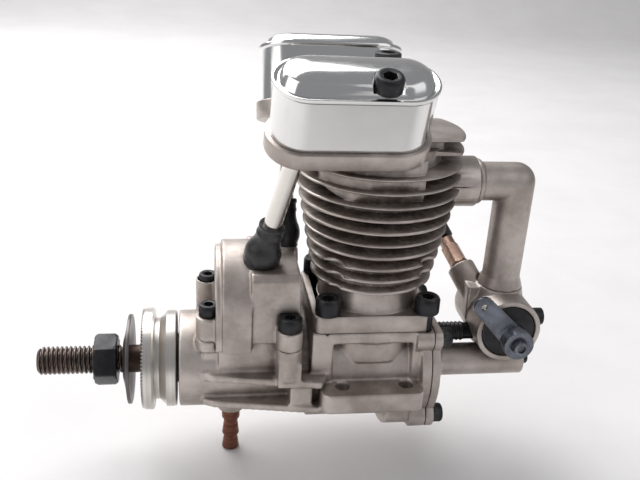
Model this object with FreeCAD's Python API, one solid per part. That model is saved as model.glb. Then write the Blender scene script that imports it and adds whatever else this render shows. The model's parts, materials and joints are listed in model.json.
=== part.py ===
"""Single-cylinder four-stroke model glow engine, in millimetres.

The origin is where the crank axis meets the cylinder axis, on the plane of the beam
lugs' upper faces. -X points to the propeller, +X to the carburettor, +Y to the right
bank of the valve gear and +Z up the cylinder. Right-hand pieces are made first and
left-hand ones are their mirror image.
"""
import FreeCAD, Part
import math
import os

V = FreeCAD.Vector
ORIGIN, X, Y, Z = V(0, 0, 0), V(1, 0, 0), V(0, 1, 0), V(0, 0, 1)
RUNNING = 0.03            # radial clearance of a running fit
GAP = 0.1                 # clearance between faces that must not rub

# Crank train
BORE_R, STROKE = 12.0, 19.2
THROW = STROKE / 2
PISTON_TOP, PISTON_LENGTH, PIN_BELOW_CROWN = 49.0, 15.0, 8.0
WRIST_PIN_R, CRANK_PIN_R, BIG_END_R = 2.2, 2.6, 4.0
SHAFT_TIP_X, SHAFT_R, JOURNAL_R, MAIN_R = -94.4, 4.0, 5.0, 6.0
WEB_R, WEB_X0, WEB_X1 = 12.4, -12.4, -5.0
ROD_HALF_WIDTH = 3.6

# Bearings: outer radius, bore radius, first and last x
FRONT_BEARING = (11.0, JOURNAL_R, -53.5, -47.5)
REAR_BEARING = (12.0, MAIN_R, -19.0, -13.0)

# Propeller drive
FLANGE_FRONT, FLANGE_GROOVE_X, FLANGE_RING_X, FLANGE_BACK = -65.0, -61.7, -58.1, -55.4
FLANGE_R, FLANGE_GROOVE_R, FLANGE_RING_R = 14.7, 11.7, 13.9
WASHER_R, WASHER_HUB_X, WASHER_RIM_X, WASHER_T = 12.9, -70.5, -68.6, 0.9
NUT_X0, NUT_X1, NUT_ACROSS_FLATS, NUT_TURN = -78.6, -72.2, 13.0, 38

# Crankcase
HOUSING_R, HOUSING_X0 = 13.9, -54.6
CASE_X0, CASE_X1, CASE_HALF, DECK_Z = -18.2, 16.5, 15.8, 15.7
CHAMBER_R, CHAMBER_X0, BELLY_R, BELLY_X0, SUMP_R = 13.9, -12.9, 21.0, 5.0, 17.8
BARREL_WALL_R, WINDOW_X0, WINDOW_X1, WINDOW_Z0, WINDOW_Z1 = 15.0, -12.0, 10.7, 0.0, 12.2
SLEEVE_WALL_R, SLEEVE_FOOT_Z = 15.3, 5.5      # the upright bulge in each window
LUG_X0, LUG_X1, LUG_Y, LUG_T, LUG_CORNER = -15.5, 13.8, 23.0, 5.9, 3.0
MOUNT_X, MOUNT_Y, MOUNT_HOLE_R = 9.2, 17.6, 2.1
WEB_PLATES = ((1.0, 3.0), (-7.2, -5.2))      # side stiffeners: lower and upper z
GEAR_CAVITY_R = 8.2

# Timing gears and cam
GEAR_MODULE, CRANK_TEETH, CAM_TEETH, GEAR_WIDTH, GEAR_X0 = 0.8, 17, 34, 4.8, -41.2
CRANK_PITCH_R = GEAR_MODULE * CRANK_TEETH / 2
CAM_PITCH_R = GEAR_MODULE * CAM_TEETH / 2
CAM_Z = CRANK_PITCH_R + CAM_PITCH_R
SPINDLE_R, CAM_HUB_R, LOBE_BASE_R, LOBE_NOSE_R, LOBE_TIP_R, LOBE_WIDTH = 2.0, 3.9, 4.6, 2.2, 7.1, 4.0

# Cam housing
FACE_X0, ARCH_R, ARCH_X0, ARCH_X1, ARCH_FOOT_Z, ARCH_WALL = -44.5, 15.9, -42.7, -35.0, 10.0, 1.2
BLOCK_X0, BLOCK_X1, BLOCK_HALF, BLOCK_TOP, BLOCK_FOOT_Z = -34.9, -21.8, 15.0, 33.0, 12.5
PEDESTAL_HALF = 13.7
EAR_X, EAR_Y, EAR_R, EAR_TOP, FAR_EAR_RISE = -46.3, 9.7, 3.6, 19.2, 2.0
REAR_EAR_X, REAR_EAR_Y, REAR_EAR_TOP = -24.6, 16.6, 17.9

# Valve gear: each bank is a box tilted outwards; u runs along X, v outwards, h up the bank
BANK_X, BANK_Y, BANK_Z, BANK_TILT = -11.8, 26.1, 88.8, math.radians(23)
COVER_LENGTH, COVER_WIDTH, COVER_ROOF, COVER_DOME, COVER_V, RIM_H = 40.6, 17.8, 1.6, 3.5, -4.0, -3.7
SEAM_H, BOX_FOOT_H, BOX_FLOOR_H = -19.3, -24.0, -18.6
VALVE_U, VALVE_V, VALVE_FACE_H, VALVE_TIP_H = 11.8, -4.0, -40.0, -9.5
VALVE_HEAD_R, STEM_R, SEAT_H = 4.0, 1.25, -38.4
ROCKER_H, ROCKER_SHAFT_R, ROCKER_HUB_R = -9.0, 2.0, 3.5
PEDESTAL_V, PEDESTAL_T = (-7.6, 1.5), 1.8
TAPPET_R, TAPPET_SLOPE, TAPPET_FOOT, TAPPET_TOP = 2.5, math.radians(24.8), 7.45, 15.9
TAPPET_X = {"left": -32.0, "right": -25.2}
PUSHROD_R, TUBE_R, TUBE_BORE_R = 1.1, 2.4, 1.8
PUSHROD_TOP = {"left": (-22.6, 19.6, 77.5), "right": (-21.8, 19.6, 77.5)}
COVER_SCREW_U, COVER_SCREW_V, COVER_SEAT_H, COVER_SEAT_R, POST_R = 6.2, 1.2, -3.0, 3.9, 2.1

# Cylinder and head
SPIGOT_Z, PLATE_TOP, BARREL_R, HEAD_R = 12.9, 20.9, 14.2, 16.5
FIN_COUNT, FIN_Z0, FIN_PITCH, FIN_T = 10, 28.4, 3.75, 1.2
FIN_R_LOW, FIN_R_HIGH, SKIRT_R, SKIRT_TOP = 17.3, 22.4, 15.7, 25.0
HEAD_TOP, CHAMBER_SPHERE_R, CHAMBER_SPHERE_Z = 67.0, 18.0, 38.0
TOP_FIN_R, TOP_FIN_COUNT, TOP_FIN_Z0 = 22.4, 2, 65.9
BASE_SCREW_X, BASE_SCREW_Y = 14.0, 13.5
PLUG_SEAT_Z, PLUG_THREAD_R = 70.0, 3.1
EXHAUST_START, EXHAUST_DIRECTION, EXHAUST_LENGTH = V(-2, 12, 57), V(-7, 15.5, -2), 17.2

# Intake side
PORT_Z, PORT_BOSS_R, PORT_BOSS_X, PIPE_R, PIPE_BORE_R, PIPE_X = 55.0, 7.1, 27.5, 5.5, 3.9, 40.0
CARB_X, CARB_Z, CARB_R, CARB_Y0, CARB_Y1, CARB_TOP, FOOT_R = 40.0, 13.0, 9.6, -12.2, 10.0, 23.0, 6.6
RECESS_R, RECESS_Y = 8.1, -11.0          # the round recess that the throttle barrel's flange sits in
BARREL_VALVE_R, THROAT_Y, THROAT_R, MOUTH_R, MOUTH_Z0, MOUTH_Z1 = 6.5, 4.4, 3.0, 3.5, 1.2, 5.2
ARM_Y, ARM_Z, ARM_R, ARM_END = -5.0, 0.1, 4.8, 47.6
COVER_PLATE_X, COVER_DISC_R = 19.0, 18.8
REAR_SCREW_Y, REAR_SCREW_Z = 13.8, (-12.8, 12.8)
LEVER_HOLE_X, LEVER_HOLE_Z, LEVER_Y0, LEVER_Y1 = 29.8, 23.3, -16.3, -15.0
NEEDLE_START, NEEDLE_DIRECTION = V(32.4, 6, 21), V(-0.307, 0.767, 0.563)
NIPPLE_X, NIPPLE_TIP_Z = -39.6, -32.4


# ---- shape helpers ---------------------------------------------------------------

def rod(radius, start, end):
    """A solid round bar between two points."""
    return Part.makeCylinder(radius, (end - start).Length, start, end - start)


def rod_x(radius, x0, x1, y=0.0, z=0.0):
    return Part.makeCylinder(radius, x1 - x0, V(x0, y, z), X)


def rod_z(radius, z0, z1, x=0.0, y=0.0):
    return Part.makeCylinder(radius, z1 - z0, V(x, y, z0), Z)


def box(x0, x1, y0, y1, z0, z1):
    return Part.makeBox(x1 - x0, y1 - y0, z1 - z0, V(x0, y0, z0))


def along(shape, point, direction):
    """Moves a shape built along +Z from the origin onto a point and direction."""
    placed = shape.copy()
    placed.Placement = FreeCAD.Placement(point, FreeCAD.Rotation(Z, direction))
    return placed


def lathe(profile, point=ORIGIN, direction=Z):
    """Turns a closed outline of (distance along the axis, radius) pairs about the axis."""
    outline = [V(radius, 0, distance) for distance, radius in profile]
    face = Part.Face(Part.makePolygon(outline + outline[:1]))
    return along(face.revolve(ORIGIN, Z, 360), point, direction)


def hexagon(across_flats, height):
    """A hexagonal prism along +Z, with two flats facing +Y and -Y."""
    radius = across_flats / math.sqrt(3)
    corners = [V(radius * math.cos(k * math.pi / 3), radius * math.sin(k * math.pi / 3), 0) for k in range(7)]
    return Part.Face(Part.makePolygon(corners)).extrude(V(0, 0, height))


def stadium(length, width, height):
    """A round-ended slab along +Z whose straight sides run along X."""
    radius = width / 2
    reach = length / 2 - radius
    slab = box(-reach, reach, -radius, radius, 0, height)
    return slab.fuse([rod_z(radius, 0, height, -reach), rod_z(radius, 0, height, reach)]).removeSplitter()


def fused(shapes):
    return shapes[0].fuse(shapes[1:]) if len(shapes) > 1 else shapes[0]


def cap_screw(thread_r, head_r, head_height, reach, seat, direction):
    """A socket-head cap screw whose head stands on its seat and points along direction."""
    body = lathe([(-reach, 0), (-reach, thread_r), (0, thread_r), (0, head_r), (head_height * 0.88, head_r),
                  (head_height, head_r * 0.88), (head_height, 0)])
    socket = hexagon(head_r * 0.86, head_height).translate(V(0, 0, head_height * 0.45))
    return along(body.cut(socket), seat, direction)


def coil(radius, wire_r, height, turns):
    """A compression spring along +Z."""
    helix = Part.makeHelix((height - 2 * wire_r) / turns, height - 2 * wire_r, radius)
    section = Part.Wire(Part.makeCircle(wire_r, V(radius, 0, 0), V(0, 1, 0.2)))
    return Part.Wire(helix).makePipeShell([section], True, True).translate(V(0, 0, wire_r))


def gear(teeth, bore_r):
    """A spur gear along +Z with straight-flanked teeth and a tooth centred on +X."""
    pitch_r = GEAR_MODULE * teeth / 2
    tip_r, root_r = pitch_r + 0.94 * GEAR_MODULE, pitch_r - 1.2 * GEAR_MODULE
    step = 2 * math.pi / teeth
    corners = []
    for k in range(teeth):
        for radius, share in ((root_r, -0.36), (pitch_r, -0.235), (tip_r, -0.12),
                              (tip_r, 0.12), (pitch_r, 0.235), (root_r, 0.36)):
            angle = step * (k + share)
            corners.append(V(radius * math.cos(angle), radius * math.sin(angle), 0))
    blank = Part.Face(Part.makePolygon(corners + corners[:1])).extrude(V(0, 0, GEAR_WIDTH))
    return blank.cut(rod_z(bore_r, -1, GEAR_WIDTH + 1))


def mirrored(shape, side):
    return shape.mirror(ORIGIN, Y) if side == "left" else shape


def bank_point(u, v, h):
    """A point of the right bank, from its own u, v and h."""
    cosine, sine = math.cos(BANK_TILT), math.sin(BANK_TILT)
    return V(BANK_X + u, BANK_Y + v * cosine + h * sine, BANK_Z - v * sine + h * cosine)


BANK_UP = bank_point(0, 0, 1) - bank_point(0, 0, 0)
BANK_OUT = bank_point(0, 1, 0) - bank_point(0, 0, 0)


def in_bank(shape):
    """Moves a shape built in u, v, h onto the right bank."""
    placed = shape.copy()
    placed.Placement = FreeCAD.Placement(bank_point(0, 0, 0), FreeCAD.Rotation(X, -math.degrees(BANK_TILT)))
    return placed


# ---- crank train -----------------------------------------------------------------

def crankshaft():
    steps = lathe([(SHAFT_TIP_X, 0), (SHAFT_TIP_X, SHAFT_R - 0.6), (SHAFT_TIP_X + 0.6, SHAFT_R),
                   (-57.0, SHAFT_R), (-56.0, JOURNAL_R), (-21.0, JOURNAL_R), (-20.0, MAIN_R),
                   (WEB_X0, MAIN_R), (WEB_X0, 0)], ORIGIN, X)
    web = rod_x(WEB_R, WEB_X0, WEB_X1)
    for side in (-1, 1):
        scallop = rod_x(9.0, WEB_X0 - 1, WEB_X1 + 1, side * 13.8, 6.4)
        web = web.cut(scallop)
    pin_socket = rod_x(CRANK_PIN_R, WEB_X1 - 0.6, WEB_X1 + 1, 0, THROW)
    return steps.fuse(web).cut(pin_socket)


def crank_gear():
    turned = gear(CRANK_TEETH, JOURNAL_R)
    turned.rotate(ORIGIN, Z, 180 + 180 / CRANK_TEETH)
    return along(turned, V(GEAR_X0, 0, 0), X)


def bearing_inner(bearing):
    outer_r, bore_r, x0, x1 = bearing
    mid_r, half = (outer_r + bore_r) / 2, (x1 - x0) / 2
    ring = rod_x(mid_r - 0.75, x0, x1).cut(rod_x(bore_r, x0 - 1, x1 + 1))
    return ring.cut(Part.makeTorus(mid_r, ball_radius(bearing) + GAP, V(x0 + half, 0, 0), X))


def ball_radius(bearing):
    outer_r, bore_r = bearing[:2]
    return (outer_r - bore_r) * 0.26


def bearing_outer(bearing):
    """The outer race with its balls, which touch only the outer track."""
    outer_r, bore_r, x0, x1 = bearing
    mid_r, half = (outer_r + bore_r) / 2, (x1 - x0) / 2
    ball_r = ball_radius(bearing)
    race = rod_x(outer_r, x0, x1).cut(rod_x(mid_r + 0.75, x0 - 1, x1 + 1))
    race = race.cut(Part.makeTorus(mid_r, ball_r, V(x0 + half, 0, 0), X))
    count = int(2 * math.pi * mid_r / (2.7 * ball_r))
    balls = []
    for k in range(count):
        angle = 2 * math.pi * k / count
        balls.append(Part.makeSphere(ball_r, V(x0 + half, mid_r * math.cos(angle), mid_r * math.sin(angle))))
    return Part.makeCompound([race] + balls)


def drive_collet():
    return lathe([(FLANGE_FRONT + 0.6, SHAFT_R), (FLANGE_FRONT + 0.6, 4.6), (-57.2, 6.2), (-57.2, SHAFT_R)],
                 ORIGIN, X)


def drive_flange():
    profile = [(FLANGE_FRONT, SHAFT_R + 0.8), (FLANGE_FRONT, FLANGE_R - 0.4), (FLANGE_FRONT + 0.4, FLANGE_R),
               (FLANGE_GROOVE_X, FLANGE_R), (FLANGE_GROOVE_X + 0.3, FLANGE_GROOVE_R),
               (FLANGE_RING_X - 2.0, FLANGE_GROOVE_R), (FLANGE_RING_X, FLANGE_RING_R),
               (FLANGE_BACK - 0.3, FLANGE_RING_R), (FLANGE_BACK, FLANGE_RING_R - 0.3), (FLANGE_BACK, 7.2),
               (FRONT_BEARING[2], 6.4), (FRONT_BEARING[2], JOURNAL_R), (-56.0, JOURNAL_R), (-56.0, 6.44),
               (-57.2, 6.2), (FLANGE_FRONT + 0.6, 4.6)]
    return lathe(profile, ORIGIN, X).cut(crankshaft())


def prop_washer():
    hub, rim, bore_r = WASHER_HUB_X, WASHER_RIM_X, SHAFT_R + 0.05
    return lathe([(hub, bore_r), (hub, 6.0), (hub + 0.9, 9.6), (rim - WASHER_T * 0.5, WASHER_R),
                  (rim + WASHER_T * 0.5, WASHER_R), (hub + 1.9, 9.4), (hub + WASHER_T + 0.2, 5.8),
                  (hub + WASHER_T, bore_r)], ORIGIN, X)


def prop_nut():
    length = NUT_X1 - NUT_X0
    corner_r = NUT_ACROSS_FLATS / math.sqrt(3)
    blank = along(hexagon(NUT_ACROSS_FLATS, length), V(NUT_X0, 0, 0), X)
    chamfer = lathe([(0, 0), (0, corner_r - 0.9), (0.7, corner_r), (length - 0.7, corner_r),
                     (length, corner_r - 0.9), (length, 0)], V(NUT_X0, 0, 0), X)
    blank.rotate(ORIGIN, X, NUT_TURN)
    return blank.common(chamfer).cut(rod_x(SHAFT_R, NUT_X0 - 1, NUT_X1 + 1))


def piston():
    skirt_z, pin_z = PISTON_TOP - PISTON_LENGTH, PISTON_TOP - PIN_BELOW_CROWN
    body = rod_z(BORE_R - RUNNING, skirt_z, PISTON_TOP).cut(rod_z(10.3, skirt_z - 1, PISTON_TOP - 3.0))
    bosses = rod_x(4.2, -11.0, 11.0, 0, pin_z).cut(box(-4.1, 4.1, -6, 6, skirt_z, PISTON_TOP - 3.0))
    bosses = bosses.common(rod_z(11.0, skirt_z, PISTON_TOP - 1))
    body = body.fuse(bosses).cut(rod_x(WRIST_PIN_R, -13, 13, 0, pin_z))
    groove = rod_z(13, 45.4, 46.6).cut(rod_z(10.6, 45.3, 46.7))
    return body.cut(groove)


def piston_ring():
    ring = rod_z(BORE_R - RUNNING, 45.4, 46.6).cut(rod_z(10.6, 45.3, 46.7))
    return ring.cut(box(9, 13, -0.2, 0.2, 45, 47))


def wrist_pin():
    pin_z = PISTON_TOP - PIN_BELOW_CROWN
    return rod_x(WRIST_PIN_R, -11.0, 11.0, 0, pin_z).cut(rod_x(1.2, -12, 12, 0, pin_z))


def connecting_rod():
    little_z = PISTON_TOP - PIN_BELOW_CROWN
    big = rod_x(BIG_END_R, -ROD_HALF_WIDTH, ROD_HALF_WIDTH, 0, THROW)
    little = rod_x(3.7, -ROD_HALF_WIDTH, ROD_HALF_WIDTH, 0, little_z)
    beam = box(-1.9, 1.9, -2.6, 2.6, THROW, little_z)
    for face in (-1, 1):
        beam = beam.cut(box(face * 2.1 - 1.1, face * 2.1 + 1.1, -1.5, 1.5, THROW + 7.0, little_z - 5.5))
    body = fused([big, little, beam])
    body = body.cut(rod_x(CRANK_PIN_R, -9, 9, 0, THROW))
    return body.cut(rod_x(WRIST_PIN_R, -9, 9, 0, little_z))


def crank_pin():
    return rod_x(CRANK_PIN_R, WEB_X1 + 0.2, ROD_HALF_WIDTH + 1.0, 0, THROW)


# ---- cam and timing gear ---------------------------------------------------------

def cam_gear():
    wheel = gear(CAM_TEETH, CAM_HUB_R)
    for k in range(6):
        angle = k * math.pi / 3
        wheel = wheel.cut(rod_z(2.4, -1, GEAR_WIDTH + 1, 8.2 * math.cos(angle), 8.2 * math.sin(angle)))
    return along(wheel, V(GEAR_X0, 0, CAM_Z), X)


def lobe_outline():
    """The cam outline along +X: a base circle, a nose circle and their tangents."""
    centre = LOBE_TIP_R - LOBE_NOSE_R
    angle = math.acos((LOBE_BASE_R - LOBE_NOSE_R) / centre)
    cosine, sine = math.cos(angle), math.sin(angle)
    base_top, nose_top = V(LOBE_BASE_R * cosine, LOBE_BASE_R * sine, 0), V(
        centre + LOBE_NOSE_R * cosine, LOBE_NOSE_R * sine, 0)
    base_low, nose_low = V(base_top.x, -base_top.y, 0), V(nose_top.x, -nose_top.y, 0)
    edges = [Part.Arc(base_top, V(-LOBE_BASE_R, 0, 0), base_low).toShape(), Part.makeLine(base_low, nose_low),
             Part.Arc(nose_low, V(LOBE_TIP_R, 0, 0), nose_top).toShape(), Part.makeLine(nose_top, base_top)]
    return Part.Wire(edges)


def cam_lobes():
    body = rod_z(CAM_HUB_R, GEAR_X0, BLOCK_X1 - 1.4)
    for side, turn in (("left", 160), ("right", 205)):
        lobe = Part.Face(lobe_outline()).extrude(V(0, 0, LOBE_WIDTH))
        lobe.rotate(ORIGIN, Z, turn)
        body = body.fuse(lobe.translate(V(0, 0, TAPPET_X[side] - LOBE_WIDTH / 2)))
    body = body.cut(rod_z(SPINDLE_R + RUNNING, GEAR_X0 - 1, BLOCK_X1))
    turned = Part.makeCompound([body])
    turned.rotate(ORIGIN, Y, 90)
    return turned.translate(V(0, 0, CAM_Z)).Solids[0]


def cam_spindle():
    return rod_x(SPINDLE_R, ARCH_X0 - 1.6, BLOCK_X1 - 0.2, 0, CAM_Z)


def tappet_axis(side):
    return V(TAPPET_X[side], 0, CAM_Z), V(0, math.sin(TAPPET_SLOPE), math.cos(TAPPET_SLOPE))


def tappet(side):
    centre, direction = tappet_axis(side)
    body = rod(TAPPET_R, centre + direction * TAPPET_FOOT, centre + direction * TAPPET_TOP)
    cup = Part.makeSphere(2.2, centre + direction * (TAPPET_TOP + 1.4))
    return mirrored(body.cut(cup), side)


def pushrod_line(side):
    """Centres of the pushrod's lower and upper ball ends on the right bank."""
    centre, direction = tappet_axis(side)
    return centre + direction * (TAPPET_TOP + 0.6), V(*PUSHROD_TOP[side])


def pushrod(side):
    low, high = pushrod_line(side)
    body = fused([rod(PUSHROD_R, low, high), Part.makeSphere(1.25, low), Part.makeSphere(1.25, high)])
    return mirrored(body, side)


def tube_ends(side):
    low, high = pushrod_line(side)
    step = (high - low).normalize()
    return low + step * 6.5, low + step * 39.5, step


def pushrod_tube(side):
    start, end, _ = tube_ends(side)
    return mirrored(rod(TUBE_R, start, end).cut(rod(TUBE_BORE_R, start, end)), side)


def tube_boot(side):
    """A rubber boot: a bulb over the tappet guide that narrows to grip the tube."""
    start, _, step = tube_ends(side)
    foot = start - step * 9.2
    outside = [(0, 3.9), (0.6, 4.7), (2.4, 5.15), (4.6, 5.1), (7.0, 4.3), (9.6, 3.6), (12.6, 3.3),
               (14.0, 3.2)]
    inside = [(14.0, TUBE_R), (8.4, TUBE_R), (7.4, 2.9), (4.6, 3.7), (2.2, 3.7), (0, 3.3)]
    body = lathe(outside + inside, foot, step)
    block = box(BLOCK_X0 - 2, BLOCK_X1, -BLOCK_HALF, BLOCK_HALF, BLOCK_FOOT_Z, BLOCK_TOP)
    arch = arch_solid(ARCH_R, ARCH_X0, ARCH_X1 + 0.2, ARCH_FOOT_Z)
    return mirrored(body.cut([tappet_guide(side), block, arch]), side)


def tappet_guide(side):
    """The round guide that stands on the cam housing, before its bore is cut."""
    centre, direction = tappet_axis(side)
    return rod(4.6, centre + direction * 9.0, centre + direction * 13.4)


def arch_solid(radius, x0, x1, foot_z):
    return rod_x(radius, x0, x1, 0, CAM_Z).common(box(x0, x1, -radius, radius, CAM_Z, CAM_Z + radius)).fuse(
        box(x0, x1, -radius, radius, foot_z, CAM_Z))


def cam_housing():
    arch = arch_solid(ARCH_R, ARCH_X0, ARCH_X1 + 0.2, ARCH_FOOT_Z)
    face = arch_solid(ARCH_R - 1.4, FACE_X0, ARCH_X0, ARCH_FOOT_Z)
    block = box(BLOCK_X0 - 0.1, BLOCK_X1, -BLOCK_HALF, BLOCK_HALF, BLOCK_FOOT_Z, BLOCK_TOP)
    corners = [e for e in block.Edges if abs(e.BoundBox.XLength - (BLOCK_X1 - BLOCK_X0 + 0.1)) < 0.01
               and e.BoundBox.ZMin > BLOCK_TOP - 1]
    body = fused([arch, face, block.makeChamfer(1.6, corners)])
    for side in TAPPET_X:
        body = body.fuse(mirrored(tappet_guide(side), side))
    for y in (-EAR_Y, EAR_Y):
        rise = FAR_EAR_RISE if y > 0 else 0.0
        ear = rod_z(EAR_R, BLOCK_FOOT_Z, EAR_TOP + rise, EAR_X, y)
        bridge = box(EAR_X, ARCH_X0, y - EAR_R, y + EAR_R, BLOCK_FOOT_Z, EAR_TOP + rise)
        body = body.fuse([ear, bridge])
        rear = rod_z(3.6, BLOCK_FOOT_Z, REAR_EAR_TOP, REAR_EAR_X, math.copysign(REAR_EAR_Y, y))
        body = body.fuse(rear)
    cavity = arch_solid(ARCH_R - ARCH_WALL, GEAR_X0 - 0.5, GEAR_X0 + GEAR_WIDTH + 0.6, ARCH_FOOT_Z - 1)
    lobes = arch_solid(8.2, GEAR_X0, BLOCK_X1 - 1.2, ARCH_FOOT_Z - 1)
    body = body.cut([cavity, lobes, rod_x(SPINDLE_R, ARCH_X0 - 3, BLOCK_X1, 0, CAM_Z)])
    for side in TAPPET_X:
        centre, direction = tappet_axis(side)
        guide = rod(TAPPET_R + RUNNING, centre, centre + direction * 20)
        relief = rod(TAPPET_R + 1.0, centre + direction * 13.4, centre + direction * 20)
        body = body.cut([mirrored(guide, side), mirrored(relief, side)])
    for screw in cam_screw_list():
        body = body.cut(screw)
    counterbore = rod_z(3.0, EAR_TOP, EAR_TOP + 6, EAR_X, EAR_Y)
    return body.cut(counterbore)


def cam_screw_list():
    screws = []
    for y in (-1, 1):
        screws.append(cap_screw(1.5, 2.75, 3.4, 10.4, V(EAR_X, y * EAR_Y, EAR_TOP), Z))
        screws.append(cap_screw(1.75, 3.3, 4.0, 10.2, V(REAR_EAR_X, y * REAR_EAR_Y, REAR_EAR_TOP), Z))
    return screws


# ---- crankcase -------------------------------------------------------------------

def side_web(low_z, high_z, side):
    """One flat stiffener from the front housing out to the beam lug."""
    reach = [(-48.5, 8.0), (-48.0, 14.0), (-45.0, 15.6), (LUG_X0, 20.5), (LUG_X0 + 4, 12.0), (-40, 8.0)]
    corners = [V(x, side * y, low_z) for x, y in reach]
    return Part.Face(Part.makePolygon(corners + corners[:1])).extrude(V(0, 0, high_z - low_z))


def beam_lug(side):
    lug = box(LUG_X0, LUG_X1, min(side * 10.0, side * LUG_Y), max(side * 10.0, side * LUG_Y), -LUG_T, 0)
    corners = [e for e in lug.Edges if e.BoundBox.ZLength > 1 and abs(e.BoundBox.YMin - side * LUG_Y) < 0.01]
    lug = lug.makeFillet(LUG_CORNER, corners)
    for x in (-MOUNT_X, MOUNT_X):
        lug = lug.cut(rod_z(MOUNT_HOLE_R, -LUG_T - 1, 1, x, side * MOUNT_Y))
    return lug


def rear_ears(x0, x1):
    return [rod_x(3.7, x0, x1, y, z) for y in (-REAR_SCREW_Y, REAR_SCREW_Y) for z in REAR_SCREW_Z]


def crankcase():
    solids = [rod_x(HOUSING_R, HOUSING_X0, CASE_X0 + 1),
              box(CASE_X0, CASE_X1, -CASE_HALF, CASE_HALF, -9.0, DECK_Z),
              rod_x(SUMP_R, CASE_X0, BELLY_X0 + 1), rod_x(BELLY_R, BELLY_X0, CASE_X1 - 2.5),
              rod_x(COVER_DISC_R, CASE_X1 - 3, CASE_X1)]
    solids[3] = solids[3].common(box(BELLY_X0, CASE_X1, -CASE_HALF, CASE_HALF, -30, 0))
    solids[4] = solids[4].common(box(CASE_X1 - 3, CASE_X1, -30, 30, -30, DECK_Z))
    solids[2] = solids[2].common(box(CASE_X0, BELLY_X0 + 1, -CASE_HALF, CASE_HALF, -30, 0))
    solids.append(box(ARCH_X0 - 1.0, BLOCK_X0, -PEDESTAL_HALF, PEDESTAL_HALF, 2.0, ARCH_FOOT_Z))
    solids.append(box(BLOCK_X0, BLOCK_X1, -PEDESTAL_HALF, PEDESTAL_HALF, 2.0, BLOCK_FOOT_Z))
    for y in (-1, 1):
        solids.append(rod_z(EAR_R, 9.0, BLOCK_FOOT_Z, EAR_X, y * EAR_Y))
        solids.append(box(EAR_X - 1.5, ARCH_X0 - 0.8, y * EAR_Y - 2.6, y * EAR_Y + 2.6, 2.0, ARCH_FOOT_Z))
        solids.append(box(EAR_X - 1.5, ARCH_X0 - 2.2, y * EAR_Y - 2.6, y * EAR_Y + 2.6, 2.0, BLOCK_FOOT_Z))
        solids.append(rod_z(3.6, 3.0, BLOCK_FOOT_Z, REAR_EAR_X, y * REAR_EAR_Y))
        solids.append(box(REAR_EAR_X - 3, REAR_EAR_X + 3.4, y * 15.0 - 4.5, y * 15.0 + 4.5,
                          1.0, BLOCK_FOOT_Z - 4))
        solids.append(box(-24.0, CASE_X0 + 0.5, y * 15.5 - 3.5, y * 15.5 + 3.5, -6.0, 2.0))
        solids.append(beam_lug(y))
        for low_z, high_z in WEB_PLATES:
            solids.append(side_web(low_z, high_z, y))
    solids += rear_ears(CASE_X1 - 5, CASE_X1)
    solids.append(rod_z(4.2, -17.5, -8.0, NIPPLE_X))
    body = fused(solids)
    cuts = [rod_x(CHAMBER_R, CHAMBER_X0, CASE_X1 + 1),
            rod_x(REAR_BEARING[0], REAR_BEARING[2], CHAMBER_X0 + 1),
            rod_x(GEAR_CAVITY_R, FRONT_BEARING[3] - 0.1, REAR_BEARING[2] + 1),
            rod_x(FRONT_BEARING[0], HOUSING_X0 - 1, FRONT_BEARING[3]),
            rod_z(BORE_R + 0.4, 0, SPIGOT_Z + 0.1), rod_z(BORE_R + 1.4, SPIGOT_Z - 0.1, DECK_Z + 1),
            rod_x(CAM_PITCH_R + GEAR_MODULE + 0.5, GEAR_X0 - 0.5, GEAR_X0 + GEAR_WIDTH + 0.6, 0, CAM_Z),
            rod_x(GEAR_CAVITY_R, GEAR_X0, BLOCK_X1 - 1.2, 0, CAM_Z),
            rod_z(1.2, -18, -GEAR_CAVITY_R + 1, NIPPLE_X)]
    for side in (-1, 1):
        window = box(WINDOW_X0, WINDOW_X1, side * 14.0 - 4.0, side * 14.0 + 4.0, WINDOW_Z0, WINDOW_Z1)
        walls = [rod_x(BARREL_WALL_R, WINDOW_X0 - 1, WINDOW_X1 + 1),
                 rod_z(SLEEVE_WALL_R, SLEEVE_FOOT_Z, WINDOW_Z1 + 1)]
        cuts.append(window.cut(walls))
    body = body.cut(cuts)
    rooms = [box(FACE_X0, ARCH_X1 + 0.2, -ARCH_R, ARCH_R, ARCH_FOOT_Z, 20),
             box(BLOCK_X0 - 0.1, BLOCK_X1, -20, 20, BLOCK_FOOT_Z, 20),
             box(CASE_X0, CASE_X1 + 1, -20, 20, DECK_Z, 20)]
    cutters = cam_screw_list() + base_screw_list() + rear_screw_list() + [breather_nipple()]
    return body.cut(rooms + cutters).removeSplitter()


def breather_nipple():
    """A barbed brass nipple with a collar, screwed into the front housing from below."""
    outline = [(0, 1.5), (0, 2.0), (0.5, 2.6), (3.2, 2.2), (3.2, 2.1), (5.0, 2.1), (5.4, 2.6), (8.6, 2.2),
               (8.6, 2.1), (11.2, 2.1), (11.2, 2.7), (14.4, 2.7), (14.4, 2.0), (19.0, 2.0), (19.0, 1.1),
               (0, 1.1)]
    return lathe(outline, V(NIPPLE_X, 0, NIPPLE_TIP_Z), Z)


def rear_screw_list():
    return [cap_screw(1.5, 2.75, 3.0, 8.0, V(COVER_PLATE_X, y, z), X)
            for y in (-REAR_SCREW_Y, REAR_SCREW_Y) for z in REAR_SCREW_Z]


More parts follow.
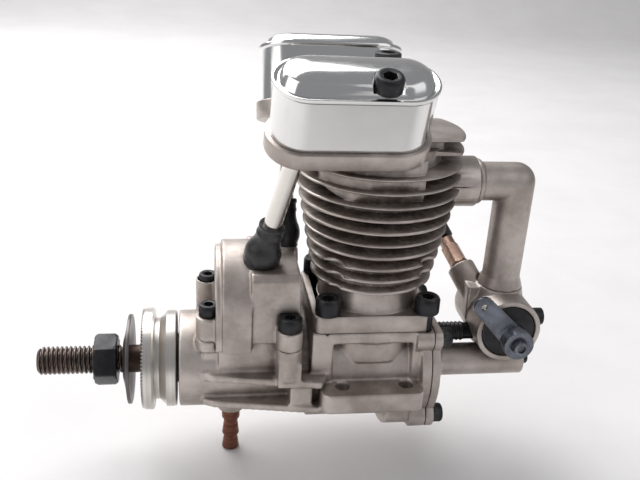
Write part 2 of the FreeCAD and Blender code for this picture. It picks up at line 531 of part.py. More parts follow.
def rear_cover():
    disc = rod_x(COVER_DISC_R, CASE_X1, COVER_PLATE_X)
    plug = rod_x(CHAMBER_R, CASE_X1 - 3.5, CASE_X1).cut(rod_x(CHAMBER_R - 2.5, CASE_X1 - 4, CASE_X1 - 1))
    boss = lathe([(0, 0), (0, ARM_R + 2.2), (1.6, ARM_R + 0.8), (3.4, ARM_R), (3.4, 0)],
                 V(COVER_PLATE_X, ARM_Y, ARM_Z), X)
    arm = rod_x(ARM_R, COVER_PLATE_X, ARM_END, ARM_Y, ARM_Z)
    top = box(CASE_X1 - 4, COVER_PLATE_X + 1, -30, 30, DECK_Z, 30)
    body = fused([disc, plug, boss, arm] + rear_ears(CASE_X1, COVER_PLATE_X)).cut(top)
    spigot_room = rod_z(BORE_R + 1.4, SPIGOT_Z, DECK_Z)
    return body.cut(rear_screw_list() + [arm_screw(), carburettor_stay(), spigot_room]).removeSplitter()


def arm_screw():
    return cap_screw(1.2, 2.0, 2.4, 6.0, V(ARM_END, ARM_Y, ARM_Z), X)


def carburettor_stay():
    """A ribbed stud between the rear cover and the carburettor body."""
    start, end, pitch = COVER_PLATE_X - 1.5, CARB_X - 7.0, 1.25
    profile = [(start, 0), (start, 2.4), (COVER_PLATE_X, 2.4)]
    for k in range(8):
        profile += [(COVER_PLATE_X + 0.2 + k * pitch, 2.5), (COVER_PLATE_X + 0.8 + k * pitch, 2.9)]
    profile += [(COVER_PLATE_X + 0.4 + 8 * pitch, 2.5), (end, 2.5), (end, 0)]
    return lathe(profile, V(0, -3.0, 8.6), X)


# ---- cylinder and head -----------------------------------------------------------

def base_screw_list():
    return [cap_screw(2.0, 3.5, 5.0, 6.2, V(x, y, PLATE_TOP), Z)
            for x in (-BASE_SCREW_X, BASE_SCREW_X) for y in (-BASE_SCREW_Y, BASE_SCREW_Y)]


def fin(z, radius, thickness):
    half = thickness / 2
    return lathe([(-half * 1.3, 0), (-half * 1.3, BARREL_R),
                  (-half * 0.7, radius - 0.3), (-half * 0.3, radius),
                  (half * 0.3, radius), (half * 0.7, radius - 0.3), (half * 1.3, BARREL_R), (half * 1.3, 0)],
                 V(0, 0, z))


def box_supports():
    """Two rocker shaft pedestals and the post for the cover screw, in u, v and h."""
    pedestals = [box(-3.4, 3.4, v, v + PEDESTAL_T, BOX_FLOOR_H - 0.5, ROCKER_H + 3.2) for v in PEDESTAL_V]
    post_top = RIM_H - COVER_ROOF - GAP
    return pedestals + [rod_z(POST_R, BOX_FLOOR_H - 0.5, post_top, COVER_SCREW_U, COVER_SCREW_V)]


def rocker_box():
    """The right bank's cast tray with its raised floor and neck, before the holes are cut."""
    tray = stadium(COVER_LENGTH + 1.6, COVER_WIDTH + 1.6, SEAM_H - BOX_FOOT_H)
    tray = tray.translate(V(0, COVER_V, BOX_FOOT_H))
    floor = stadium(COVER_LENGTH - 3.0, COVER_WIDTH - 3.0, BOX_FLOOR_H - BOX_FOOT_H)
    floor = floor.translate(V(0, COVER_V, BOX_FOOT_H))
    neck = box(-6.0, 20.0, -8.5, 5.5, BOX_FOOT_H - 10.7, BOX_FOOT_H + 0.5)
    tray = in_bank(fused([tray, floor] + box_supports()))
    clipped = in_bank(neck).common(rod_z(20.5, 40, 80))
    return tray.fuse(clipped)


def bank_cuts(side):
    """Everything bored out of the right bank, placed for the named side."""
    hollow = stadium(COVER_LENGTH - 3.0, COVER_WIDTH - 3.0, 20).translate(V(0, COVER_V, BOX_FLOOR_H))
    hollow = hollow.cut(box_supports())
    guide_r = 2.4
    valve = [bank_point(VALVE_U, VALVE_V, h) for h in (-45, SEAT_H + 2.0, -33.0, -17.0)]
    start, end, step = tube_ends(side)
    low, high = pushrod_line(side)
    return [in_bank(hollow), rod(VALVE_HEAD_R + 0.6, valve[0], valve[1]),
            rod(3.2, valve[1] - BANK_UP, valve[2]),
            rod(guide_r, valve[2] - BANK_UP * 0.5, valve[3]),
            rod(ROCKER_SHAFT_R, *rocker_shaft_ends()),
            rod(TUBE_R, start, end), rod(TUBE_BORE_R, low, high), cover_screw()]


def cylinder():
    plate = box(CASE_X0, CASE_HALF, -CASE_HALF, CASE_HALF, DECK_Z, PLATE_TOP)
    uprights = [e for e in plate.Edges if e.BoundBox.ZLength > 3]
    solids = [plate.makeFillet(3.0, uprights), rod_z(BORE_R + 1.38, SPIGOT_Z, DECK_Z),
              Part.makeCone(SKIRT_R, BARREL_R, SKIRT_TOP - DECK_Z, V(0, 0, DECK_Z)),
              rod_z(BARREL_R, DECK_Z, 50), rod_z(HEAD_R, 49, HEAD_TOP)]
    for k in range(FIN_COUNT):
        share = min(1.0, k / (FIN_COUNT - 3))
        solids.append(fin(FIN_Z0 + k * FIN_PITCH, FIN_R_LOW + (FIN_R_HIGH - FIN_R_LOW) * share, FIN_T))
    for k in range(TOP_FIN_COUNT):
        disc = fin(TOP_FIN_Z0 + k * FIN_PITCH, TOP_FIN_R, FIN_T)
        solids.append(disc.common(box(-12, 30, -11.0, 11.0, 50, 90)))
    solids.append(box(-12, 15, -9.0, 9.0, HEAD_TOP - 1, PLUG_SEAT_Z))
    solids.append(rod_x(PORT_BOSS_R, 8, PORT_BOSS_X, 0, PORT_Z))
    solids.append(rod(6.6, exhaust_point(0), exhaust_point(EXHAUST_LENGTH)))
    for side in TAPPET_X:
        solids.append(mirrored(rocker_box(), side))
    body = fused(solids)
    chamber = Part.makeSphere(CHAMBER_SPHERE_R, V(0, 0, CHAMBER_SPHERE_Z)).common(rod_z(BORE_R, 50, 60))
    cuts = [rod_z(BORE_R, SPIGOT_Z - 1, 50.1), chamber, rod_z(PLUG_THREAD_R, 52, PLUG_SEAT_Z + 1),
            rod_z(5.2, PLUG_SEAT_Z, PLUG_SEAT_Z + 8)]
    for side in TAPPET_X:
        cuts += [mirrored(cut, side) for cut in bank_cuts(side)]
    port = bank_point(VALVE_U, VALVE_V, -34.0)
    intake_port = V(port.x, -port.y, port.z)
    cuts += [rod(3.4, V(PORT_BOSS_X - 5, 0, PORT_Z), intake_port),
             rod_x(PIPE_R, PORT_BOSS_X - 6, PORT_BOSS_X + 1, 0, PORT_Z),
             rod(3.6, port, exhaust_point(9)), rod(4.6, exhaust_point(8), exhaust_point(EXHAUST_LENGTH + 1))]
    for x in (-BASE_SCREW_X, BASE_SCREW_X):
        for y in (-BASE_SCREW_Y, BASE_SCREW_Y):
            cuts.append(rod_z(4.3, PLATE_TOP, 38.0, x * 1.08, y * 1.08))
    cuts += base_screw_list()
    return body.cut(cuts).removeSplitter()


def exhaust_point(distance):
    return EXHAUST_START + V(EXHAUST_DIRECTION).normalize() * distance


def valve_guides():
    pieces = []
    for side in TAPPET_X:
        guide = rod(2.4, bank_point(VALVE_U, VALVE_V, -33.0), bank_point(VALVE_U, VALVE_V, -17.2))
        seat = lathe([(0, VALVE_HEAD_R + 0.05), (0, VALVE_HEAD_R + 0.6), (2.0, VALVE_HEAD_R + 0.6),
                      (2.0, 3.2), (0.65, 3.2)], bank_point(VALVE_U, VALVE_V, SEAT_H), BANK_UP)
        stem = rod(STEM_R + RUNNING, bank_point(VALVE_U, VALVE_V, -50), bank_point(VALVE_U, VALVE_V, 0))
        pieces += [mirrored(guide.cut(stem), side), mirrored(seat, side)]
    return Part.makeCompound(pieces)


def valve(side):
    margin = SEAT_H - GAP - VALVE_FACE_H
    profile = [(0, 0), (0, VALVE_HEAD_R - 0.3), (0.3, VALVE_HEAD_R), (margin, VALVE_HEAD_R),
               (margin + 1.1, 2.6), (margin + 2.9, STEM_R),
               (VALVE_TIP_H - VALVE_FACE_H, STEM_R), (VALVE_TIP_H - VALVE_FACE_H, 0)]
    return mirrored(lathe(profile, bank_point(VALVE_U, VALVE_V, VALVE_FACE_H), BANK_UP), side)


def valve_spring(side):
    spring = coil(3.0, 0.4, 5.0, 4.5)
    return mirrored(along(spring, bank_point(VALVE_U, VALVE_V, BOX_FLOOR_H + 0.4), BANK_UP), side)


def spring_retainer(side):
    profile = [(0, STEM_R), (0, 3.4), (1.0, 3.4), (1.0, 2.5), (1.9, 2.1), (1.9, STEM_R)]
    return mirrored(lathe(profile, bank_point(VALVE_U, VALVE_V, -12.9), BANK_UP), side)


def rocker_shaft_ends():
    return bank_point(0, PEDESTAL_V[0], ROCKER_H), bank_point(0, PEDESTAL_V[1] + PEDESTAL_T, ROCKER_H)


def rocker_shaft(side):
    return mirrored(rod(ROCKER_SHAFT_R, *rocker_shaft_ends()), side)


def rocker_arm(side):
    """A rocker with a curved pad over the valve and an adjusting screw over the pushrod."""
    tip = V(*PUSHROD_TOP[side]) - bank_point(0, 0, 0)
    push_u, push_v = tip.x, tip.dot(BANK_OUT)
    push_h = tip.dot(BANK_UP)
    hub = rod(ROCKER_HUB_R, V(0, -5.5, ROCKER_H), V(0, 1.2, ROCKER_H))
    pad = rod(1.7, V(VALVE_U, VALVE_V - 1.4, VALVE_TIP_H + 1.8), V(VALVE_U, VALVE_V + 1.4, VALVE_TIP_H + 1.8))
    valve_arm = box(0, VALVE_U, VALVE_V - 1.2, VALVE_V + 1.2, ROCKER_H - 0.4, ROCKER_H + 2.6)
    push_arm = box(push_u, 0, push_v - 1.2, push_v + 1.2, ROCKER_H - 0.4, ROCKER_H + 2.6)
    eye = rod_z(2.5, ROCKER_H - 0.4, ROCKER_H + 2.6, push_u, push_v)
    screw = rod_z(1.5, push_h + 1.45, ROCKER_H + 4.6, push_u, push_v)
    locknut = hexagon(4.0, 1.4).translate(V(push_u, push_v, ROCKER_H + 2.6))
    body = fused([hub, pad, valve_arm, push_arm, eye, screw, locknut])
    body = body.cut(rod(ROCKER_SHAFT_R + RUNNING, V(0, -9, ROCKER_H), V(0, 9, ROCKER_H)))
    return mirrored(in_bank(body), side)


def rocker_cover(side):
    """A deep cover with a rim bead and a crowned top, open underneath."""
    centre = V(0, COVER_V, RIM_H)
    shell = stadium(COVER_LENGTH - 0.8, COVER_WIDTH - 0.8, RIM_H - SEAM_H).translate(V(0, COVER_V, SEAM_H))
    bead = stadium(COVER_LENGTH, COVER_WIDTH, 1.0).translate(centre + V(0, 0, -1.0))
    crown = stadium(COVER_LENGTH - 3.0, COVER_WIDTH - 3.0, COVER_DOME)
    edge = [e for e in crown.Edges if e.BoundBox.ZMin > COVER_DOME - 0.1]
    crown = crown.makeFillet(COVER_DOME - 0.2, edge).translate(centre)
    inside = stadium(COVER_LENGTH - 2.6, COVER_WIDTH - 2.6, RIM_H - SEAM_H - COVER_ROOF + 1.0)
    inside = inside.translate(V(0, COVER_V, SEAM_H - 1.0))
    under_crown = stadium(COVER_LENGTH - 7.0, COVER_WIDTH - 7.0, COVER_DOME)
    under_crown = under_crown.translate(centre + V(0, 0, -COVER_ROOF))
    screw_boss = rod_z(COVER_SEAT_R + 0.8, SEAM_H, RIM_H + COVER_DOME, COVER_SCREW_U, COVER_SCREW_V)
    seat = rod_z(COVER_SEAT_R, COVER_SEAT_H, RIM_H + COVER_DOME + 1, COVER_SCREW_U, COVER_SCREW_V)
    body = fused([shell, bead, crown]).cut([inside, under_crown.cut(screw_boss), seat])
    return mirrored(in_bank(body).cut(cover_screw()), side)


def cover_screw():
    return cap_screw(1.6, 3.5, 4.0, 9.0, bank_point(COVER_SCREW_U, COVER_SCREW_V, COVER_SEAT_H), BANK_UP)


def glow_plug():
    """The plug body: thread, hexagon and terminal post."""
    thread = rod_z(PLUG_THREAD_R, 57.0, PLUG_SEAT_Z)
    nut = hexagon(8.0, 4.0).translate(V(0, 0, PLUG_SEAT_Z))
    post = lathe([(0, 0), (0, 3.2), (1.5, 3.2), (2.0, 1.6), (8.0, 1.6), (8.0, 0)], V(0, 0, PLUG_SEAT_Z + 4.0))
    return fused([thread, nut, post])


def plug_cap():
    profile = [(0, 1.6), (0, 3.0), (1.0, 3.45), (10.5, 3.45), (11.2, 2.9), (11.2, 1.9), (7.4, 1.9),
               (7.4, 1.0), (5.8, 1.0), (5.8, 1.6)]
    return lathe(profile, V(0, 0, PLUG_SEAT_Z + 6.2))


# ---- intake side -----------------------------------------------------------------

def intake_pipe():
    """A cast pipe with a square elbow, rounded on its outer corner."""
    start = PORT_BOSS_X - 5.0
    outer = rod_x(PIPE_R, start, PIPE_X, 0, PORT_Z).fuse([rod_z(PIPE_R, CARB_TOP, PORT_Z, PIPE_X),
                                                        Part.makeSphere(PIPE_R, V(PIPE_X, 0, PORT_Z))])
    foot = Part.makeCone(FOOT_R, PIPE_R, 3.2, V(PIPE_X, 0, CARB_TOP))
    collar = rod_x(PIPE_R + 0.9, PORT_BOSS_X, PORT_BOSS_X + 1.6, 0, PORT_Z)
    bores = [rod_x(PIPE_BORE_R, start - 1, PIPE_X, 0, PORT_Z),
             rod_z(PIPE_BORE_R, CARB_TOP - 1, PORT_Z, PIPE_X),
             Part.makeSphere(PIPE_BORE_R, V(PIPE_X, 0, PORT_Z))]
    return fused([outer, foot, collar]).cut(fused(bores)).removeSplitter()


def needle_point(distance):
    return NEEDLE_START + V(NEEDLE_DIRECTION).normalize() * distance


def carburettor_body():
    drum = Part.makeCylinder(CARB_R, CARB_Y1 - CARB_Y0, V(CARB_X, CARB_Y0, CARB_Z), Y)
    neck = Part.makeCone(8.8, FOOT_R, 10.0, V(PIPE_X, 0, CARB_TOP - 10.0))
    boss = rod(4.2, needle_point(-8), needle_point(5))
    web = box(30.0, 41, -2.0, 8.0, 12, 22.5)
    stop_boss = lathe([(0, 4.6), (10.5, 2.9), (10.5, 0), (0, 0)], V(CARB_X, -3.0, CARB_Z), X)
    mouth = rod_z(MOUTH_R + 1.4, MOUTH_Z0, CARB_Z, CARB_X, THROAT_Y)
    body = fused([drum, neck, boss, web, stop_boss, mouth])
    barrel_bore = Part.makeCylinder(BARREL_VALVE_R + RUNNING, 19.6, V(CARB_X, RECESS_Y - 1.4, CARB_Z), Y)
    recess = Part.makeCylinder(RECESS_R, RECESS_Y - CARB_Y0 + 1, V(CARB_X, CARB_Y0 - 1, CARB_Z), Y)
    cuts = [barrel_bore, recess, rod_z(MOUTH_R, MOUTH_Z0 - 1, MOUTH_Z1, CARB_X, THROAT_Y),
            rod_z(THROAT_R, MOUTH_Z1, CARB_Z, CARB_X, THROAT_Y),
            rod_z(PIPE_BORE_R, CARB_Z, CARB_TOP + 1, PIPE_X),
            rod(1.6, needle_point(-6), needle_point(6)), rear_cover_arm(), carburettor_stay(), stop_screw(),
            rod_z(6.9, CARB_TOP, CARB_TOP + 9, PIPE_X)]
    return body.cut(cuts)


def rear_cover_arm():
    return rod_x(ARM_R, COVER_PLATE_X, ARM_END, ARM_Y, ARM_Z)


def stop_screw():
    profile = [(0, 0), (0, 1.2), (3.8, 1.2), (3.8, 2.6), (6.9, 2.6), (6.9, 0)]
    return lathe(profile, V(CARB_X + 6.7, -3.0, CARB_Z), X)


def throttle_barrel():
    drum = Part.makeCylinder(BARREL_VALVE_R, 17.3, V(CARB_X, RECESS_Y - GAP, CARB_Z), Y)
    flange = Part.makeCylinder(RECESS_R - 0.3, 0.7, V(CARB_X, RECESS_Y - GAP - 0.7, CARB_Z), Y)
    stem = Part.makeCylinder(3.0, 3.6, V(CARB_X, LEVER_Y1 + 0.2, CARB_Z), Y)
    passage = rod_z(THROAT_R, CARB_Z - 9, CARB_Z + 9, CARB_X, THROAT_Y)
    return fused([drum, flange, stem]).cut(passage)


def throttle_lever():
    """The black arm with its round hub, clamped on the barrel's stem."""
    hub = Part.makeCylinder(4.3, 5.6, V(CARB_X, -20.4, CARB_Z), Y)
    pivot, tip = V(CARB_X, LEVER_Y0, CARB_Z), V(LEVER_HOLE_X, LEVER_Y0, LEVER_HOLE_Z)
    direction = (tip - pivot).normalize()
    across = V(-direction.z, 0, direction.x)
    corners = [pivot + across * 3.6, tip + across * 2.9, tip - across * 2.9, pivot - across * 3.6]
    thickness = V(0, LEVER_Y1 - LEVER_Y0, 0)
    plate = Part.Face(Part.makePolygon(corners + corners[:1])).extrude(thickness)
    end = Part.makeCylinder(2.9, thickness.y, tip, Y)
    hole = Part.makeCylinder(0.9, 6, V(tip.x, tip.y - 3, tip.z), Y)
    body = fused([hub, plate, end]).cut(hole)
    needle_bore = Part.makeCylinder(2.1, 9.0, V(CARB_X, -23.0, CARB_Z), Y)
    return body.cut(needle_bore)


def idle_needle():
    shank = Part.makeCylinder(2.1, 7.4, V(CARB_X, -22.4, CARB_Z), Y)
    return shank.cut(Part.makeCylinder(1.1, 1.6, V(CARB_X, -23.0, CARB_Z), Y))


def needle_holder():
    nut = along(hexagon(5.0, 6.4), needle_point(6.2), NEEDLE_DIRECTION)
    collar = rod(2.9, needle_point(5), needle_point(6.2))
    sleeve = rod(2.3, needle_point(12.6), needle_point(15.4))
    return fused([nut, collar, sleeve]).cut(rod(1.2 + RUNNING, needle_point(4), needle_point(17)))


def main_needle():
    stem = rod(1.2, needle_point(1.0), needle_point(24))
    sleeve = rod(2.8, needle_point(16.0), needle_point(23.0))
    knob = rod(3.4, needle_point(25.5), needle_point(32.0))
    neck = rod(1.9, needle_point(23.0), needle_point(25.5))
    return fused([stem, sleeve, neck, knob])


def fuel_nipple():
    outline = [(0, 0.8), (0, 2.4), (1.6, 2.4), (1.6, 1.6), (4.0, 1.6), (4.0, 2.0), (6.6, 1.5), (6.6, 2.0),
               (9.4, 1.4), (9.4, 0.8)]
    return lathe(outline, V(44, CARB_Y1, 8), Y)


def carburettor_screws():
    return Part.makeCompound([stop_screw(), arm_screw()])


PIECES = {
    "crankcase": crankcase,
    "rear_cover": rear_cover,
    "rear_cover_screws": lambda: Part.makeCompound(rear_screw_list()),
    "breather_nipple": breather_nipple,
    "cylinder": cylinder,
    "base_screws": lambda: Part.makeCompound(base_screw_list()),
    "valve_guides": valve_guides,
    "glow_plug": glow_plug,
    "plug_cap": plug_cap,
    "cam_housing": cam_housing,
    "cam_housing_screws": lambda: Part.makeCompound(cam_screw_list()),
    "cam_spindle": cam_spindle,
    "front_bearing_outer": lambda: bearing_outer(FRONT_BEARING),
    "front_bearing_inner": lambda: bearing_inner(FRONT_BEARING),
    "rear_bearing_outer": lambda: bearing_outer(REAR_BEARING),
    "rear_bearing_inner": lambda: bearing_inner(REAR_BEARING),
    "crankshaft": crankshaft,
    "crank_gear": crank_gear,
    "drive_collet": drive_collet,
    "drive_flange": drive_flange,
    "prop_washer": prop_washer,
    "prop_nut": prop_nut,
    "cam_gear": cam_gear,
    "cam_lobes": cam_lobes,
    "piston": piston,
    "piston_ring": piston_ring,
    "wrist_pin": wrist_pin,
    "connecting_rod": connecting_rod,
    "crank_pin": crank_pin,
    "rocker_cover_screws": lambda: Part.makeCompound([mirrored(cover_screw(), side) for side in TAPPET_X]),
    "intake_pipe": intake_pipe,
    "carburettor_body": carburettor_body,
    "carburettor_stay": carburettor_stay,
    "carburettor_screws": carburettor_screws,
    "throttle_barrel": throttle_barrel,
    "throttle_lever": throttle_lever,
    "idle_needle": idle_needle,
    "needle_holder": needle_holder,
    "main_needle": main_needle,
    "fuel_nipple": fuel_nipple,
}
BANK_PIECES = {
    "tappet": tappet,
    "pushrod": pushrod,
    "pushrod_tube": pushrod_tube,
    "tube_boot": tube_boot,
    "rocker_arm": rocker_arm,
    "rocker_shaft": rocker_shaft,
    "rocker_cover": rocker_cover,
    "valve": valve,
    "valve_spring": valve_spring,
    "spring_retainer": spring_retainer,
}


def main():
    os.makedirs("parts", exist_ok=True)
    shapes = {name: make() for name, make in PIECES.items()}
    for side in TAPPET_X:
        for name, make in BANK_PIECES.items():
            shapes[f"{side}_{name}"] = make(side)
    for name, shape in shapes.items():
        if not shape.isValid() or not shape.Solids:
            print("bad shape:", name, shape.isValid(), len(shape.Solids))
        shape.exportStep(f"parts/{name}.step")
    print(len(shapes), "pieces")


main()
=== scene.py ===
"""Dresses a model glow engine: castings, chromed rocker covers, threads, screws and boots.

Every length is in metres. -X points to the propeller, +Y to the right bank and +Z up.
"""
import json
import math

import bmesh
import bpy
from bpy.props import FloatProperty, FloatVectorProperty, IntProperty, PointerProperty
from mathutils import Matrix, Vector

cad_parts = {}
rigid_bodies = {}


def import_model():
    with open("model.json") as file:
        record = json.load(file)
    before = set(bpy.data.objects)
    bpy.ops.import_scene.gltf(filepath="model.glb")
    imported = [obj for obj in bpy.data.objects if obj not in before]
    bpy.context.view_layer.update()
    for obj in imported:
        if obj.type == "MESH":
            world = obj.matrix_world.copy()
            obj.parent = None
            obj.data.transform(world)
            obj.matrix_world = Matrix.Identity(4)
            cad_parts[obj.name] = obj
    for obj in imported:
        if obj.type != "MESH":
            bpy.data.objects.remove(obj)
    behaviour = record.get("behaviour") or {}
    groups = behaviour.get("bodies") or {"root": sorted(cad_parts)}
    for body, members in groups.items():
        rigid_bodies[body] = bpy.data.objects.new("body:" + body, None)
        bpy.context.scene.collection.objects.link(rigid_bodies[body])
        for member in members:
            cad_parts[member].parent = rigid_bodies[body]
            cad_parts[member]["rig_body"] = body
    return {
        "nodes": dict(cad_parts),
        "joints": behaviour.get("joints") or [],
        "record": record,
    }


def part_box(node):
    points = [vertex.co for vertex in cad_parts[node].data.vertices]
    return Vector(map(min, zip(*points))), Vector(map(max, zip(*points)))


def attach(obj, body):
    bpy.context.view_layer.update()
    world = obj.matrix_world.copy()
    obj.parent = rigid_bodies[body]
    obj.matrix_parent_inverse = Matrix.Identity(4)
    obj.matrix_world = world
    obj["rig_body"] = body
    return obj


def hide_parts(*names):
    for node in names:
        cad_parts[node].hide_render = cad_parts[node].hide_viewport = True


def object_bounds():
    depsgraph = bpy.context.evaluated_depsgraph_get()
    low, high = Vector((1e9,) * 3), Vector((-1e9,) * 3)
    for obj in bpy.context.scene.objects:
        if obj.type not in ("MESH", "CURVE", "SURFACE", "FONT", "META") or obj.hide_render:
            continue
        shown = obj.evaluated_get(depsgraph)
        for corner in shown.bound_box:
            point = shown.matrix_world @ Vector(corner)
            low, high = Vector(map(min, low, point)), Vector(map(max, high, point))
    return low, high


bl_info = {
    "name": "Model Glow Engine",
    "version": (1, 0, 0),
    "blender": (4, 5, 0),
    "location": "View3D > Sidebar > Engine",
    "description": "Builds the looks of a four-stroke model glow engine around its frame",
    "category": "Object",
}

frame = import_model()
CAD_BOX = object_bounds()
NODES = frame["nodes"]
JOINTS = {joint["name"]: joint for joint in frame["joints"]}
SLOTS = {part["node"]: part["material_slot"] for part in frame["record"]["subparts"]}

MM = 0.001
X, Y, Z = Vector((1, 0, 0)), Vector((0, 1, 0)), Vector((0, 0, 1))
SIDES = ("left", "right")
SMOOTH_ANGLE = math.radians(38)
EDGE_ANGLE = math.radians(35)      # sharper edges are rounded
FLAT_ANGLE = math.radians(0.8)     # flatter joints between faces are dissolved
WELD = 2e-6                        # vertices nearer than this are one
KEPT_FACES = 0.35                  # share of a casting's faces kept when it is thinned
FINE_EDGE = 0.15 * MM              # rounding of the small parts' edges
BROAD_EDGE = 0.3 * MM              # rounding of the fins' and the nut's edges
ROCKER_DEPTH = 9 * MM              # from a valve bank's datum down to its rocker shaft
COVER_DOME = 3.5 * MM              # height of a rocker cover's crown above its rim plane


# ---- properties ------------------------------------------------------------------

def colour_property(name, description, default):
    return FloatVectorProperty(name=name, description=description, subtype="COLOR", size=3,
                               min=0, max=1, default=default)


def length_property(name, description, millimetres):
    return FloatProperty(name=name, description=description, unit="LENGTH", min=0,
                         precision=5, default=millimetres * MM)


class EngineColours(bpy.types.PropertyGroup):
    """Base colours of the engine's finishes."""
    casting: colour_property("Casting", "Bead-blasted aluminium castings", (0.60, 0.545, 0.51))
    casting_dark: colour_property("Casting shade", "Darker patches of the castings", (0.40, 0.35, 0.32))
    turned: colour_property("Turned aluminium", "Flange, tubes and machined rims", (0.75, 0.715, 0.675))
    # this colour is both soot and painted shade: crevices and hollows darken towards it
    soot_and_shade: colour_property("Soot", "Oil and soot in crevices and between fins", (0.065, 0.042, 0.03))
    chrome: colour_property("Chrome", "Rocker covers", (0.80, 0.80, 0.79))
    black_oxide: colour_property("Black oxide", "Screws and nut", (0.018, 0.018, 0.02))
    dark_steel: colour_property("Dark steel", "Propeller shaft", (0.072, 0.048, 0.038))
    washer: colour_property("Washer", "Propeller washer", (0.17, 0.155, 0.155))
    rubber: colour_property("Rubber", "Pushrod tube boots", (0.011, 0.011, 0.012))
    brass: colour_property("Brass", "Needle holder and fuel nipple", (0.37, 0.245, 0.19))
    copper: colour_property("Aged brass", "Breather nipple", (0.215, 0.095, 0.065))
    lever: colour_property("Lever steel", "Throttle lever", (0.115, 0.125, 0.145))


class EngineSizes(bpy.types.PropertyGroup):
    """Sizes of the details that the frame leaves plain."""
    thread_pitch: length_property("Thread pitch", "Pitch of the propeller shaft's thread", 1.25)
    thread_depth: length_property("Thread depth", "Depth of the propeller shaft's thread", 0.7)
    casting_voxel: length_property("Casting detail", "Size of the finest casting detail", 0.36)
    flange_teeth: IntProperty(name="Flange teeth", description="Serrations on the drive flange",
                              min=8, max=160, default=90)
    knurl_ribs: IntProperty(name="Knurl ribs", description="Ribs round a cap screw's head",
                            min=12, max=90, default=30)


# ---- meshes ----------------------------------------------------------------------

def link(name, mesh):
    piece = bpy.data.objects.new(name, mesh)
    bpy.context.scene.collection.objects.link(piece)
    return piece


def body_of(node):
    return NODES[node]["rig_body"]


def finished(piece, material, node, *more_nodes):
    """Gives a piece its material, shading and body, and hides the nodes that it stands for."""
    mesh = piece.data
    mesh.shade_smooth()
    mesh.set_sharp_from_angle(angle=SMOOTH_ANGLE)
    mesh.materials.clear()
    mesh.materials.append(material)
    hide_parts(node, *more_nodes)
    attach(piece, body_of(node))
    return piece


def baked(piece):
    """Turns a piece's modifiers into plain mesh."""
    graph = bpy.context.evaluated_depsgraph_get()
    mesh = bpy.data.meshes.new_from_object(piece.evaluated_get(graph))
    piece.modifiers.clear()
    old = piece.data
    piece.data = mesh
    bpy.data.meshes.remove(old)
    return piece


def welded_mesh(node):
    """A copy of a node's mesh with its triangles joined and its flats made whole."""
    mesh = NODES[node].data.copy()
    work = bmesh.new()
    work.from_mesh(mesh)
    bmesh.ops.remove_doubles(work, verts=work.verts, dist=WELD)
    bmesh.ops.dissolve_limit(work, angle_limit=FLAT_ANGLE, verts=work.verts, edges=work.edges)
    work.to_mesh(mesh)
    work.free()
    return mesh


def machined(node, radius):
    """A node's own shape with lightly rounded edges."""
    piece = link(f"{node}_dressed", welded_mesh(node))
    bevel = piece.modifiers.new("edges", "BEVEL")
    bevel.width = radius
    bevel.segments = 2
    bevel.limit_method = "ANGLE"
    bevel.angle_limit = EDGE_ANGLE
    bevel.use_clamp_overlap = False
    return finished(baked(piece), material_for(node), node)


def cast(node, detail=1.0, rounding=5):
    """A node's own shape with the soft corners of a casting."""
    piece = link(f"{node}_casting", welded_mesh(node))
    skin = piece.modifiers.new("skin", "REMESH")
    skin.mode = "VOXEL"
    skin.voxel_size = bpy.context.scene.engine_sizes.casting_voxel * detail
    soften = piece.modifiers.new("soften", "SMOOTH")
    soften.factor = 0.5
    soften.iterations = rounding
    thin = piece.modifiers.new("thin", "DECIMATE")
    thin.ratio = KEPT_FACES
    return finished(baked(piece), material_for(node), node)


def ring(radius, distance, count, ribs=0, depth=0.0):
    """Points of a circle at a distance along +Z; ribs pull every second point inwards."""
    points = []
    for k in range(count):
        angle = 2 * math.pi * k / count
        reach = radius - depth * (0.5 - 0.5 * math.cos(ribs * angle))
        points.append(Vector((reach * math.cos(angle), reach * math.sin(angle), distance)))
    return points


def lofted(rings, closed=False):
    """A skin over rings of equal count, closed on itself or capped at both ends."""
    count = len(rings[0])
    points = [tuple(point) for loop in rings for point in loop]
    faces = []
    for row in range(len(rings) if closed else len(rings) - 1):
        low, high = row * count, (row + 1) % len(rings) * count
        for k in range(count):
            follow = (k + 1) % count
            faces.append((low + k, low + follow, high + follow, high + k))
    if not closed:
        faces.append(tuple(reversed(range(count))))
        faces.append(tuple(range((len(rings) - 1) * count, len(rings) * count)))
    mesh = bpy.data.meshes.new("loft")
    mesh.from_pydata(points, [], faces)
    work = bmesh.new()
    work.from_mesh(mesh)
    bmesh.ops.remove_doubles(work, verts=work.verts, dist=WELD)
    bmesh.ops.recalc_face_normals(work, faces=work.faces)
    work.to_mesh(mesh)
    work.free()
    return mesh


def turned(profile, count=64):
    """A closed outline of (distance, radius) pairs turned about +Z, in metres."""
    return lofted([ring(radius, distance, count) for distance, radius in profile], closed=True)


def aimed(mesh, origin, direction, turn=0.0):
    """Moves a mesh built along +Z onto a place and direction."""
    facing = direction.to_track_quat("Z", "Y").to_matrix().to_4x4()
    mesh.transform(Matrix.Translation(origin) @ facing @ Matrix.Rotation(turn, 4, "Z"))
    return mesh


def scaled(profile):
    return [(distance * MM, radius * MM) for distance, radius in profile]


def points_of(node):
    return [vertex.co.copy() for vertex in NODES[node].data.vertices]


def centre_of(node):
    low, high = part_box(node)
    return (low + high) / 2


def span(points, origin, direction):
    """Least and greatest distance of points along a direction from an origin."""
    distances = [(point - origin).dot(direction) for point in points]
    return min(distances), max(distances)


